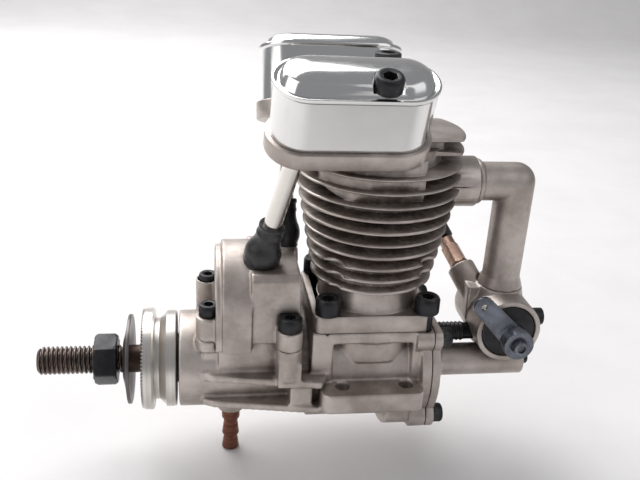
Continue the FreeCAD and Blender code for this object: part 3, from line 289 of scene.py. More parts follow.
def solids_of(node):
    """The separate solids of a node, each as a list of its points."""
    mesh = bmesh.new()
    mesh.from_mesh(NODES[node].data)
    bmesh.ops.remove_doubles(mesh, verts=mesh.verts, dist=WELD)
    groups, seen = [], set()
    for start in mesh.verts:
        if start in seen:
            continue
        seen.add(start)
        group, queue = [], [start]
        while queue:
            vertex = queue.pop()
            group.append(vertex.co.copy())
            for edge in vertex.link_edges:
                other = edge.other_vert(vertex)
                if other not in seen:
                    seen.add(other)
                    queue.append(other)
        groups.append(group)
    mesh.free()
    return groups


def bank(side):
    """A valve bank's own place: a datum above the rocker shaft, and its ways out and up."""
    joint = JOINTS[f"{side}_rocker_tilt"]
    turn = 1 if side == "right" else -1
    outward = Vector(joint["axis"]).normalized() * turn
    upward = Vector((0, -outward.z, outward.y)) * turn
    return Vector(joint["pos_m"]) + upward * ROCKER_DEPTH, outward, upward


# ---- shader groups ---------------------------------------------------------------

def add(tree, kind, sockets=None, **settings):
    """Adds a node, sets it, and fills each named socket with a value or a link."""
    made = tree.nodes.new(kind)
    for key, value in settings.items():
        setattr(made, key, value)
    for key, value in (sockets or {}).items():
        if isinstance(value, bpy.types.NodeSocket):
            tree.links.new(value, made.inputs[key])
        else:
            made.inputs[key].default_value = value
    return made


def maths(tree, operation, first, second=0.5):
    return add(tree, "ShaderNodeMath", {0: first, 1: second}, operation=operation).outputs[0]


def ranged(tree, value, low, high, to_low=0.0, to_high=1.0):
    sockets = {"Value": value, "From Min": low, "From Max": high, "To Min": to_low, "To Max": to_high}
    return add(tree, "ShaderNodeMapRange", sockets, interpolation_type="SMOOTHSTEP").outputs[0]


def blended(tree, share, first, second):
    """Mixes two colours, each a link or three numbers."""
    mix = add(tree, "ShaderNodeMix", {"Factor": share}, data_type="RGBA")
    for index, value in ((6, first), (7, second)):
        if isinstance(value, bpy.types.NodeSocket):
            tree.links.new(value, mix.inputs[index])
        else:
            mix.inputs[index].default_value = (*value, 1.0)
    return mix.outputs[2]


def new_group(name, inputs, outputs):
    """A shader group with named sockets; returns it with its input and output nodes."""
    tree = bpy.data.node_groups.new(name, "ShaderNodeTree")
    for label, kind, default in inputs:
        socket = tree.interface.new_socket(label, in_out="INPUT", socket_type=kind)
        if default is not None:
            socket.default_value = default
    for label, kind in outputs:
        tree.interface.new_socket(label, in_out="OUTPUT", socket_type=kind)
    return tree, tree.nodes.new("NodeGroupInput").outputs, tree.nodes.new("NodeGroupOutput").inputs


def build_grain_group():
    """Bead-blasted metal or moulded rubber: a fine grain with broad patches."""
    tree, given, out = new_group(
        "Surface grain",
        [("Vector", "NodeSocketVector", None), ("Grain Size", "NodeSocketFloat", 0.3 * MM),
         ("Patch Size", "NodeSocketFloat", 9 * MM)],
        [("Height", "NodeSocketFloat"), ("Speckle", "NodeSocketFloat"), ("Patch", "NodeSocketFloat")])
    grain_scale = maths(tree, "DIVIDE", 1.0, given["Grain Size"])
    patch_scale = maths(tree, "DIVIDE", 1.0, given["Patch Size"])
    grain = add(tree, "ShaderNodeTexNoise",
                {"Vector": given["Vector"], "Scale": grain_scale, "Detail": 3.0, "Roughness": 0.6})
    pits = add(tree, "ShaderNodeTexVoronoi", {"Vector": given["Vector"], "Scale": grain_scale})
    patch = add(tree, "ShaderNodeTexNoise",
                {"Vector": given["Vector"], "Scale": patch_scale, "Detail": 5.0, "Roughness": 0.62})
    shallow = maths(tree, "MULTIPLY", pits.outputs["Distance"], 0.5)
    height = maths(tree, "ADD", shallow, grain.outputs["Fac"])
    tree.links.new(height, out["Height"])
    tree.links.new(ranged(tree, grain.outputs["Fac"], 0.3, 0.7), out["Speckle"])
    tree.links.new(ranged(tree, patch.outputs["Fac"], 0.32, 0.68), out["Patch"])


def build_soot_and_shade_group():
    """Dark residue and painted shade that gather in crevices, broken up by noise."""
    tree, given, out = new_group(
        "Crevice soot",
        [("Vector", "NodeSocketVector", None), ("Colour", "NodeSocketColor", (0.5, 0.5, 0.5, 1)),
         # the Soot input is the colour that hollows darken to: soot and painted shade
         ("Soot", "NodeSocketColor", (0.05, 0.04, 0.03, 1)), ("Reach", "NodeSocketFloat", 3 * MM),
         ("Amount", "NodeSocketFloat", 0.8)],
        [("Colour", "NodeSocketColor"), ("Mask", "NodeSocketFloat")])
    # painted shade with soot: the occlusion mask darkens hollows where shade falls
    hollow = add(tree, "ShaderNodeAmbientOcclusion", {"Distance": given["Reach"]}, samples=6)
    closed = maths(tree, "SUBTRACT", 1.0, hollow.outputs["AO"])
    breakup = add(tree, "ShaderNodeTexNoise",
                  {"Vector": given["Vector"], "Scale": 260.0, "Detail": 4.0, "Roughness": 0.7})
    uneven = maths(tree, "MULTIPLY", closed, ranged(tree, breakup.outputs["Fac"], 0.25, 0.7, 0.55, 1.15))
    mask = maths(tree, "MULTIPLY", ranged(tree, uneven, 0.12, 0.78), given["Amount"])
    mix = add(tree, "ShaderNodeMix", {"Factor": mask}, data_type="RGBA")
    tree.links.new(given["Colour"], mix.inputs[6])
    tree.links.new(given["Soot"], mix.inputs[7])
    tree.links.new(mix.outputs[2], out["Colour"])
    tree.links.new(mask, out["Mask"])


def build_wear_group():
    """A mask of sharp edges, where a finish has rubbed thin."""
    tree, given, out = new_group(
        "Edge wear",
        [("Vector", "NodeSocketVector", None), ("Width", "NodeSocketFloat", 0.3 * MM),
         ("Amount", "NodeSocketFloat", 1.0)],
        [("Mask", "NodeSocketFloat")])
    rounded = add(tree, "ShaderNodeBevel", {"Radius": given["Width"]}, samples=4)
    geometry = add(tree, "ShaderNodeNewGeometry")
    likeness = add(tree, "ShaderNodeVectorMath",
                   {0: rounded.outputs["Normal"], 1: geometry.outputs["Normal"]},
                   operation="DOT_PRODUCT")
    edge = ranged(tree, likeness.outputs["Value"], 0.995, 0.93)
    breakup = add(tree, "ShaderNodeTexNoise", {"Vector": given["Vector"], "Scale": 700.0, "Detail": 4.0})
    patchy = maths(tree, "MULTIPLY", edge, ranged(tree, breakup.outputs["Fac"], 0.35, 0.6, 0.25, 1.0))
    tree.links.new(maths(tree, "MULTIPLY", patchy, given["Amount"]), out["Mask"])


def build_lathe_group():
    """Fine rings left by a lathe turning about the vector's X axis."""
    tree, given, out = new_group(
        "Turning marks",
        [("Vector", "NodeSocketVector", None), ("Pitch", "NodeSocketFloat", 0.25 * MM)],
        [("Height", "NodeSocketFloat"), ("Streak", "NodeSocketFloat")])
    scale = maths(tree, "DIVIDE", 0.3, given["Pitch"])
    sockets = {"Vector": given["Vector"], "Scale": scale, "Distortion": 0.4, "Detail": 1.0}
    along = add(tree, "ShaderNodeTexWave", sockets, wave_type="BANDS", bands_direction="X")
    around = add(tree, "ShaderNodeTexWave", sockets, wave_type="RINGS", rings_direction="X")
    stretched = add(tree, "ShaderNodeMapping", {"Vector": given["Vector"], "Scale": (900.0, 25.0, 25.0)})
    streak = add(tree, "ShaderNodeTexNoise",
                 {"Vector": stretched.outputs[0], "Scale": 1.0, "Detail": 3.0})
    tree.links.new(maths(tree, "ADD", along.outputs["Fac"], around.outputs["Fac"]), out["Height"])
    tree.links.new(ranged(tree, streak.outputs["Fac"], 0.3, 0.7), out["Streak"])


def build_shader_groups():
    build_grain_group()
    build_soot_and_shade_group()
    build_wear_group()
    build_lathe_group()


def grouped(tree, name, **sockets):
    """Places a shader group; a socket's name has its spaces written as underscores."""
    made = tree.nodes.new("ShaderNodeGroup")
    made.node_tree = bpy.data.node_groups[name]
    for key, value in sockets.items():
        target = made.inputs[key.replace("_", " ")]
        if isinstance(value, bpy.types.NodeSocket):
            tree.links.new(value, target)
        elif target.type == "RGBA":
            target.default_value = (*value, 1.0)
        else:
            target.default_value = value
    return made.outputs


# ---- materials -------------------------------------------------------------------

def surface(name, metallic, roughness):
    """A new material: its tree, its shader and its Object coordinates."""
    material = bpy.data.materials.new(name)
    material.use_nodes = True
    tree = material.node_tree
    shader = tree.nodes["Principled BSDF"]
    shader.inputs["Metallic"].default_value = metallic
    shader.inputs["Roughness"].default_value = roughness
    place = add(tree, "ShaderNodeTexCoord").outputs["Object"]
    return material, tree, shader, place


def bumped(tree, shader, height, depth, strength=1.0):
    bump = add(tree, "ShaderNodeBump", {"Height": height, "Strength": strength, "Distance": depth})
    tree.links.new(bump.outputs["Normal"], shader.inputs["Normal"])


def darkened_by_soot_and_shade(tree, shader, place, tint, roughness, reach, amount):
    """Feeds the shader a colour that darkens in crevices with soot and painted shade, and a roughness
    that dulls there.
    """
    soot_and_shade = grouped(tree, "Crevice soot", Vector=place, Colour=tint, Reach=reach, Amount=amount,
                   Soot=bpy.context.scene.engine_colours.soot_and_shade)
    tree.links.new(soot_and_shade["Colour"], shader.inputs["Base Color"])
    dull = maths(tree, "ADD", roughness, maths(tree, "MULTIPLY", soot_and_shade["Mask"], 0.25))
    tree.links.new(dull, shader.inputs["Roughness"])
    metal = maths(tree, "SUBTRACT", 1.0, maths(tree, "MULTIPLY", soot_and_shade["Mask"], 0.75))
    tree.links.new(metal, shader.inputs["Metallic"])


def cast_aluminium():
    colours = bpy.context.scene.engine_colours
    material, tree, shader, place = surface("cast aluminium", 0.9, 0.5)
    grain = grouped(tree, "Surface grain", Vector=place, Grain_Size=0.28 * MM, Patch_Size=11 * MM)
    tint = blended(tree, grain["Patch"], colours.casting_dark, colours.casting)
    roughness = ranged(tree, grain["Speckle"], 0.0, 1.0, 0.40, 0.56)
    # soot and painted shade darken the casting's crevices
    darkened_by_soot_and_shade(tree, shader, place, tint, roughness, 4.0 * MM, 1.0)
    bumped(tree, shader, grain["Height"], 0.05 * MM, 0.55)
    return material


def finned_aluminium():
    colours = bpy.context.scene.engine_colours
    material, tree, shader, place = surface("finned aluminium", 0.9, 0.42)
    grain = grouped(tree, "Surface grain", Vector=place, Grain_Size=0.24 * MM, Patch_Size=14 * MM)
    tint = blended(tree, grain["Patch"], colours.casting_dark, colours.casting)
    roughness = ranged(tree, grain["Speckle"], 0.0, 1.0, 0.34, 0.5)
    # soot and painted shade darken the gaps between the fins
    darkened_by_soot_and_shade(tree, shader, place, tint, roughness, 4.5 * MM, 1.0)
    bumped(tree, shader, grain["Height"], 0.04 * MM, 0.4)
    return material


def turned_metal(name, colour, axis, roughness=0.28, soot_and_shade=0.5, marking=0.35):
    """Bright metal with lathe rings about a world axis given as X, Y or Z."""
    material, tree, shader, place = surface(name, 1.0, roughness)
    turn = {"X": (0, 0, 0), "Y": (0, 0, math.radians(-90)), "Z": (0, math.radians(90), 0)}[axis]
    facing = add(tree, "ShaderNodeMapping", {"Vector": place, "Rotation": turn}).outputs[0]
    marks = grouped(tree, "Turning marks", Vector=facing, Pitch=0.3 * MM)
    darker = tuple(channel * (1 - 0.63 * marking) for channel in colour)
    tint = blended(tree, marks["Streak"], darker, tuple(colour))
    rough = ranged(tree, marks["Streak"], 0.0, 1.0, roughness * 1.35, roughness)
    # soot and painted shade darken the crevices
    darkened_by_soot_and_shade(tree, shader, place, tint, rough, 2.0 * MM, soot_and_shade)
    bumped(tree, shader, marks["Height"], 0.012 * MM, marking)
    return material


def polished_chrome():
    colours = bpy.context.scene.engine_colours
    material, tree, shader, place = surface("polished chrome", 1.0, 0.13)
    grain = grouped(tree, "Surface grain", Vector=place, Grain_Size=1.2 * MM, Patch_Size=16 * MM)
    hazy = tuple(channel * 0.93 for channel in colours.chrome)
    tint = blended(tree, grain["Patch"], hazy, tuple(colours.chrome))
    tree.links.new(tint, shader.inputs["Base Color"])
    tree.links.new(ranged(tree, grain["Patch"], 0.0, 1.0, 0.17, 0.11), shader.inputs["Roughness"])
    bumped(tree, shader, grain["Speckle"], 0.004 * MM, 0.25)
    return material


def worn_black(name, colour, metallic, roughness, wear, grain_size=0.25 * MM):
    """A dark finish, rubbed to grey metal at its edges."""
    material, tree, shader, place = surface(name, metallic, roughness)
    grain = grouped(tree, "Surface grain", Vector=place, Grain_Size=grain_size, Patch_Size=5 * MM)
    lighter = tuple(min(1.0, channel * 1.7 + 0.006) for channel in colour)
    tint = blended(tree, grain["Patch"], tuple(colour), lighter)
    edges = grouped(tree, "Edge wear", Vector=place, Width=0.35 * MM, Amount=wear)
    rubbed = blended(tree, edges["Mask"], tint, (0.32, 0.31, 0.30))
    tree.links.new(rubbed, shader.inputs["Base Color"])
    rough = ranged(tree, grain["Speckle"], 0.0, 1.0, roughness * 0.85, roughness * 1.2)
    tree.links.new(rough, shader.inputs["Roughness"])
    bumped(tree, shader, grain["Height"], 0.015 * MM, 0.4)
    return material


def soft_rubber():
    colours = bpy.context.scene.engine_colours
    material, tree, shader, place = surface("soft rubber", 0.0, 0.5)
    grain = grouped(tree, "Surface grain", Vector=place, Grain_Size=0.4 * MM, Patch_Size=4 * MM)
    dusty = tuple(channel + 0.02 for channel in colours.rubber)
    tint = blended(tree, grain["Patch"], tuple(colours.rubber), dusty)
    tree.links.new(tint, shader.inputs["Base Color"])
    tree.links.new(ranged(tree, grain["Speckle"], 0.0, 1.0, 0.27, 0.42), shader.inputs["Roughness"])
    bumped(tree, shader, grain["Height"], 0.02 * MM, 0.4)
    return material


def build_materials():
    colours = bpy.context.scene.engine_colours
    return {
        "cast_body": cast_aluminium(),
        "fins": finned_aluminium(),
        "machined_aluminium": turned_metal("turned aluminium", colours.turned, "X"),
        "tube_aluminium": turned_metal("polished tube", colours.turned, "Z", 0.15, 0.15, 0.04),
        "rod_alloy": turned_metal("rod alloy", (0.66, 0.65, 0.63), "Z", 0.35),
        "bright_chrome": polished_chrome(),
        "black_oxide": worn_black("black oxide", colours.black_oxide, 0.6, 0.34, 0.55),
        "dark_steel": worn_black("dark steel", colours.dark_steel, 0.85, 0.38, 0.9),
        "washer_steel": turned_metal("washer steel", colours.washer, "X", 0.36, 0.3),
        "plain_steel": turned_metal("plain steel", (0.50, 0.49, 0.48), "X", 0.25, 0.3),
        "spring_steel": turned_metal("spring steel", (0.40, 0.40, 0.42), "Z", 0.3, 0.2),
        "lever_steel": worn_black("lever steel", colours.lever, 0.9, 0.3, 0.5),
        "brass": turned_metal("brass", colours.brass, "Y", 0.28, 0.4),
        "aged_brass": turned_metal("aged brass", colours.copper, "Z", 0.4, 0.6),
        "needle_black": worn_black("needle sleeve", (0.015, 0.015, 0.016), 0.0, 0.5, 0.1),
        "boot_rubber": soft_rubber(),
        "cap_black": worn_black("cap insulation", (0.012, 0.012, 0.013), 0.0, 0.42, 0.15),
        "bronze": turned_metal("bronze", (0.46, 0.31, 0.15), "Z", 0.35, 0.3),
    }


MATERIALS = {}


def material_for(node):
    return MATERIALS[SLOTS[node]]


# ---- geometry nodes --------------------------------------------------------------

def new_geometry_tree(name, inputs):
    tree = bpy.data.node_groups.new(name, "GeometryNodeTree")
    tree.interface.new_socket("Geometry", in_out="INPUT", socket_type="NodeSocketGeometry")
    for label, kind in inputs:
        tree.interface.new_socket(label, in_out="INPUT", socket_type=kind)
    tree.interface.new_socket("Geometry", in_out="OUTPUT", socket_type="NodeSocketGeometry")
    return tree, tree.nodes.new("NodeGroupInput").outputs, tree.nodes.new("NodeGroupOutput").inputs


def run_tree(piece, tree, **values):
    """Runs a geometry tree on a piece and keeps the result as plain mesh."""
    modifier = piece.modifiers.new("build", "NODES")
    modifier.node_group = tree
    for item in tree.interface.items_tree:
        key = item.name.replace(" ", "_")
        if item.in_out == "INPUT" and key in values:
            modifier[item.identifier] = values[key]
    return baked(piece)


def close_tree(tree, instances, material, out):
    """Ends a tree in real geometry with its material."""
    real = add(tree, "GeometryNodeRealizeInstances", {"Geometry": instances})
    painted = add(tree, "GeometryNodeSetMaterial", {"Geometry": real.outputs[0], "Material": material})
    tree.links.new(painted.outputs[0], out["Geometry"])


def build_screw_tree():
    """Sets a screw head on every point, sized and aimed by the point's attributes."""
    tree, given, out = new_geometry_tree(
        "Cap screws", [("Head", "NodeSocketObject"), ("Height Ratio", "NodeSocketFloat"),
                       ("Material", "NodeSocketMaterial")])
    head = add(tree, "GeometryNodeObjectInfo", {"Object": given["Head"]})
    aim = add(tree, "GeometryNodeInputNamedAttribute", {"Name": "aim"}, data_type="FLOAT_VECTOR")
    size = add(tree, "GeometryNodeInputNamedAttribute", {"Name": "head_radius"}, data_type="FLOAT")
    facing = add(tree, "FunctionNodeAlignRotationToVector",
                 {"Vector": aim.outputs["Attribute"]}, axis="Z")
    tall = add(tree, "ShaderNodeMath", {0: size.outputs["Attribute"], 1: given["Height Ratio"]},
               operation="MULTIPLY")
    scale = add(tree, "ShaderNodeCombineXYZ",
                {"X": size.outputs["Attribute"], "Y": size.outputs["Attribute"], "Z": tall.outputs[0]})
    placed = add(tree, "GeometryNodeInstanceOnPoints",
                 {"Points": given["Geometry"], "Instance": head.outputs["Geometry"],
                  "Rotation": facing.outputs[0], "Scale": scale.outputs[0]})
    close_tree(tree, placed.outputs[0], given["Material"], out)
    return tree


def build_teeth_tree():
    """A ring of radial three-sided teeth about +Z."""
    tree, given, out = new_geometry_tree(
        "Ring of teeth", [("Count", "NodeSocketInt"), ("Middle Radius", "NodeSocketFloat"),
                          ("Length", "NodeSocketFloat"), ("Width", "NodeSocketFloat"),
                          ("Material", "NodeSocketMaterial")])
    circle = add(tree, "GeometryNodeMeshCircle",
                 {"Vertices": given["Count"], "Radius": given["Middle Radius"]})
    tooth = add(tree, "GeometryNodeMeshCylinder",
                {"Vertices": 3, "Side Segments": 1, "Radius": given["Width"], "Depth": given["Length"]})
    laid = add(tree, "GeometryNodeTransform",
               {"Geometry": tooth.outputs["Mesh"], "Rotation": (0, math.radians(90), 0)})
    index = add(tree, "GeometryNodeInputIndex")
    step = add(tree, "ShaderNodeMath", {0: 2 * math.pi, 1: given["Count"]}, operation="DIVIDE")
    angle = add(tree, "ShaderNodeMath", {0: index.outputs[0], 1: step.outputs[0]}, operation="MULTIPLY")
    turn = add(tree, "ShaderNodeCombineXYZ", {"Z": angle.outputs[0]})
    rotation = add(tree, "FunctionNodeEulerToRotation", {"Euler": turn.outputs[0]})
    placed = add(tree, "GeometryNodeInstanceOnPoints",
                 {"Points": circle.outputs["Mesh"], "Instance": laid.outputs[0],
                  "Rotation": rotation.outputs[0]})
    close_tree(tree, placed.outputs[0], given["Material"], out)
    return tree


def hexagon_ring(across_flats, distance, count):
    """Points of a hexagon at a distance along +Z, spread evenly by angle."""
    points = []
    for k in range(count):
        angle = 2 * math.pi * k / count
        within = (angle + math.pi / 6) % (math.pi / 3) - math.pi / 6
        reach = across_flats / 2 / math.cos(within)
        points.append(Vector((reach * math.cos(angle), reach * math.sin(angle), distance)))
    return points


KNURL_DEPTH = 0.055        # as a share of a screw head's radius


def cap_head():
    """A cap screw head of unit radius and height: knurled side and a hexagon socket."""
    ribs = bpy.context.scene.engine_sizes.knurl_ribs
    count = ribs * 2
    rings = [ring(0.93, 0.0, count), ring(1.0, 0.05, count, ribs, KNURL_DEPTH),
             ring(1.0, 0.84, count, ribs, KNURL_DEPTH), ring(0.95, 0.87, count),
             ring(0.92, 0.95, count), ring(0.84, 1.0, count), ring(0.66, 1.0, count),
             hexagon_ring(0.94, 0.97, count), hexagon_ring(0.90, 0.40, count), ring(0.02, 0.34, count)]
    return lofted(rings)


TIP_DEPTH = 0.2 * MM       # a screw's points nearer its tip than this tell its shank's radius
AXIS_ROOM = 0.3 * MM       # points nearer the axis than this don't count


def screw_heads(node, directions, height_ratio):
    """One piece of every screw of a node: detailed heads over plain shanks."""
    heads, shanks = [], []
    for index, points in enumerate(solids_of(node)):
        direction = directions[index] if isinstance(directions, list) else directions
        middle = sum(points, Vector()) / len(points)
        low, high = span(points, middle, direction)
        flat = [point - direction * (point - middle).dot(direction) for point in points]
        centre = centre_of_points(flat)
        radius = max((point - centre).length for point in flat)
        height = radius * height_ratio
        base = centre + direction * (high - height)
        reaches = [(point - centre).length for point, full in zip(flat, points)
                   if (full - middle).dot(direction) < low + TIP_DEPTH]
        shank_r = min(reach for reach in reaches if reach > AXIS_ROOM)
        heads.append((base, direction, radius))
        shanks.append(aimed(lofted([ring(shank_r, 0, 24), ring(shank_r, high - height - low, 24)]),
                            centre + direction * low, direction))
    points = bpy.data.meshes.new("screw places")
    points.from_pydata([tuple(base) for base, _, _ in heads], [], [])
    points.attributes.new("aim", "FLOAT_VECTOR", "POINT")
    points.attributes.new("head_radius", "FLOAT", "POINT")
    for index, (_, direction, radius) in enumerate(heads):
        points.attributes["aim"].data[index].vector = direction
        points.attributes["head_radius"].data[index].value = radius
    piece = link(f"{node}_dressed", points)
    pattern = link("cap_head_pattern", cap_head())
    run_tree(piece, bpy.data.node_groups["Cap screws"], Head=pattern, Height_Ratio=height_ratio,
             Material=material_for(node))
    bpy.data.objects.remove(pattern)
    join_meshes(piece, shanks)
    return finished(piece, material_for(node), node)


def centre_of_points(points):
    low = Vector([min(point[axis] for point in points) for axis in range(3)])
    high = Vector([max(point[axis] for point in points) for axis in range(3)])
    return (low + high) / 2


def join_meshes(piece, meshes):
    """Adds further meshes to a piece's own."""
    work = bmesh.new()
    work.from_mesh(piece.data)
    for mesh in meshes:
        work.from_mesh(mesh)
        bpy.data.meshes.remove(mesh)
    work.to_mesh(piece.data)
    work.free()


# ---- operators -------------------------------------------------------------------

class ENGINE_OT_materials(bpy.types.Operator):
    """Builds the shader groups, the materials and the geometry trees"""
    bl_idname = "engine.materials"
    bl_label = "Materials"

    def execute(self, context):
        build_shader_groups()
        MATERIALS.update(build_materials())
        build_screw_tree()
        build_teeth_tree()
        for node, piece in NODES.items():
            piece.data.materials.clear()
            piece.data.materials.append(material_for(node))
        return {"FINISHED"}


class ENGINE_OT_castings(bpy.types.Operator):
    """Makes the crankcase, cam housing, rear cover and intake pipe"""
    bl_idname = "engine.castings"
    bl_label = "Castings"

    def execute(self, context):
        for node in ("crankcase", "cam_housing", "rear_cover", "intake_pipe"):
            cast(node)
        return {"FINISHED"}


class ENGINE_OT_cylinder(bpy.types.Operator):
    """Makes the finned cylinder with its head and rocker trays"""
    bl_idname = "engine.cylinder"
    bl_label = "Cylinder"

    def execute(self, context):
        machined("cylinder", BROAD_EDGE)
        return {"FINISHED"}


def stadium_ring(half_length, half_width, inset, height, count):
    """Points round a stadium, moved inwards by an inset; every ring pairs up with the next."""
    radius = max(half_width - inset, 0.02 * MM)
    reach = half_length - half_width
    points = []
    for end in (1, -1):
        for k in range(count + 1):
            angle = -math.pi / 2 + math.pi * k / count + (0 if end > 0 else math.pi)
            across = end * reach + radius * math.cos(angle)
            points.append(Vector((across, radius * math.sin(angle), height)))
    return points


COVER_WALL = (  # inset from the rim and height above the rim plane, in millimetres
    (1.25, -15.55), (0.55, -15.55), (0.4, -15.4), (0.4, -1.5), (0.3, -1.15), (0.02, -0.9), (0.0, -0.55),
    (0.0, -0.25), (0.1, -0.05), (0.35, 0.0), (0.75, -0.02), (1.1, -0.2), (1.5, -0.3))
DOME_INSET = 1.75          # where the crown starts, in millimetres
POCKET_INSET, POCKET_TOP = 3.5, 1.75       # the pocket under the crown, in millimetres
SCREW_SEAT_TOP = 4.0       # clear of the crown, in millimetres
SCREW_SEAT = (  # name, radius and foot on the screw's axis in millimetres, and points round it
    ("boss", 4.7, -12.0, 48), ("well", 4.0, -3.0, 48), ("hole", 1.75, -9.0, 24))


def dome_profile(half_width):
    """The crown's inset and height, a rounded arch in millimetres up to the middle."""
    reach = half_width / MM - DOME_INSET
    points = []
    for k in range(15):
        share = 1 - math.sin(math.pi / 2 * k / 14)
        height = COVER_DOME / MM * (1 - share ** 2.3) ** (1 / 2.3)
        points.append((DOME_INSET + reach * (1 - share), height))
    return points


def cover_meshes(side):
    """The cover's skin and the pocket under its crown, both in their place."""
    origin, outward, upward = bank(side)
    points = points_of(f"{side}_rocker_cover")
    low_u, high_u = span(points, origin, X)
    low_v, high_v = span(points, origin, outward)
    _, top = span(points, origin, upward)
    half_length, half_width = (high_u - low_u) / 2, (high_v - low_v) / 2
    inner = [(half_width / MM, -1.6), (1.25, -1.6)]
    rings = [stadium_ring(half_length, half_width, inset * MM, height * MM, 24)
             for inset, height in (*COVER_WALL, *dome_profile(half_width), *inner)]
    pocket = [stadium_ring(half_length, half_width, POCKET_INSET * MM, height * MM, 24)
              for height in (-2.0, POCKET_TOP)]
    across = (low_v + high_v) / 2 * (1 if side == "right" else -1)
    centre = Matrix.Translation(((low_u + high_u) / 2, across, top - COVER_DOME))
    meshes = lofted(rings, closed=True), lofted(pocket)
    for mesh in meshes:
        mesh.transform(bank_matrix(side) @ centre)
    return meshes


def bank_matrix(side):
    origin, outward, upward = bank(side)
    across = outward if side == "right" else -outward
    return Matrix.Translation(origin) @ Matrix((X, across, upward)).transposed().to_4x4()


def cut_away(piece, tool):
    """Cuts a tool's shape out of a piece."""
    boolean = piece.modifiers.new("cut", "BOOLEAN")
    boolean.operation = "DIFFERENCE"
    boolean.solver = "EXACT"
    boolean.object = tool
    baked(piece)
    bpy.data.objects.remove(tool)
    return piece


class ENGINE_OT_rocker_covers(bpy.types.Operator):
    """Makes the two chromed rocker covers with their rims and crowned tops"""
    bl_idname = "engine.rocker_covers"
    bl_label = "Rocker covers"

    def execute(self, context):
        screws = solids_of("rocker_cover_screws")
        for side in SIDES:
            node = f"{side}_rocker_cover"
            skin, pocket = cover_meshes(side)
            piece = link(f"{node}_dressed", skin)
            origin, _, upward = bank(side)
            points = min(screws, key=lambda group: abs(group[0].y - origin.y))
            flat = [point - upward * (point - origin).dot(upward) for point in points]
            middle = centre_of_points(flat)
            tools = []
            for name, radius, foot, count in SCREW_SEAT:
                rod = lofted([ring(radius * MM, end * MM, count) for end in (foot, SCREW_SEAT_TOP)])
                tools.append(link(name, aimed(rod, middle, upward)))
            boss, well, hole = tools
            cut_away(piece, cut_away(link("pocket", pocket), boss))
            cut_away(piece, well)
            cut_away(piece, hole)
            finished(piece, material_for(node), node)
        return {"FINISHED"}


class ENGINE_OT_screws(bpy.types.Operator):
    """Makes every socket-head cap screw"""
    bl_idname = "engine.screws"
    bl_label = "Cap screws"

    def execute(self, context):
        screw_heads("base_screws", Z, 1.4)
        screw_heads("cam_housing_screws", Z, 1.22)
        screw_heads("rear_cover_screws", X, 1.09)
        aims = []
        for points in solids_of("rocker_cover_screws"):
            side = "right" if points[0].y > 0 else "left"
            aims.append(bank(side)[2])
        screw_heads("rocker_cover_screws", aims, 1.14)
        return {"FINISHED"}


TUBE_BORE, TUBE_RADIUS = 1.8 * MM, 2.4 * MM
BOOT_LENGTH = 14 * MM
BOOT_PROFILE = (  # distance from the foot and radius, in millimetres
    (0.0, 3.4), (0.0, 4.4), (0.35, 4.75), (0.9, 4.8), (1.3, 4.65), (1.8, 4.8), (2.8, 5.08),
    (4.0, 5.15), (5.2, 5.0), (6.4, 4.6), (7.4, 4.1), (8.4, 3.75), (9.4, 3.55), (10.2, 3.5),
    (10.6, 3.62), (11.1, 3.62), (11.5, 3.4), (12.6, 3.3), (12.9, 3.5), (13.6, 3.5), (14.0, 3.2),
    (14.0, 2.42), (8.4, 2.42), (7.4, 2.9), (4.6, 3.7), (2.2, 3.7))


class ENGINE_OT_pushrod_tubes(bpy.types.Operator):
    """Makes the pushrod tubes and their rubber boots"""
    bl_idname = "engine.pushrod_tubes"
    bl_label = "Pushrod tubes"

    def execute(self, context):
        for side in SIDES:
            tube, boot = f"{side}_pushrod_tube", f"{side}_tube_boot"
            step = Vector(JOINTS[f"{side}_pushrod_slide"]["axis"]).normalized()
            middle = centre_of(tube)
            _, top = span(points_of(boot), middle, step)
            foot = middle + step * (top - BOOT_LENGTH)
            rubber = aimed(turned(scaled(BOOT_PROFILE), 56), foot, step)
            finished(link(f"{boot}_dressed", rubber), material_for(boot), boot)
            low, high = span(points_of(tube), middle, step)
            outline = [(low, TUBE_BORE), (low, TUBE_RADIUS), (high, TUBE_RADIUS), (high, TUBE_BORE)]
            pipe = aimed(turned(outline, 48), middle, step)
            finished(link(f"{tube}_dressed", pipe), MATERIALS["tube_aluminium"], tube)
        return {"FINISHED"}


THREAD_STEPS, THREAD_POINTS = 8, 56        # rings for each turn of the thread, points for each ring
THREAD_CHAMFER = 0.9 * MM


def threaded_bar(start, end, radius, pitch, depth):
    """A bar along +X with a helical thread and a chamfered start, closed at both ends."""
    rows = int((end - start) / pitch * THREAD_STEPS)
    rings = []
    for row in range(rows + 1):
        distance = start + (end - start) * row / rows
        chamfer = max(0.0, THREAD_CHAMFER - (distance - start))
        loop = []
        for k in range(THREAD_POINTS):
            angle = 2 * math.pi * k / THREAD_POINTS
            phase = ((distance - start) / pitch - k / THREAD_POINTS) % 1.0
            groove = min(1.0, max(0.0, 1.35 - abs(phase - 0.5) * 4.0)) * depth
            reach = min(radius - groove, radius - chamfer)
            loop.append(Vector((distance, reach * math.cos(angle), reach * math.sin(angle))))
        rings.append(loop)
    return lofted(rings)


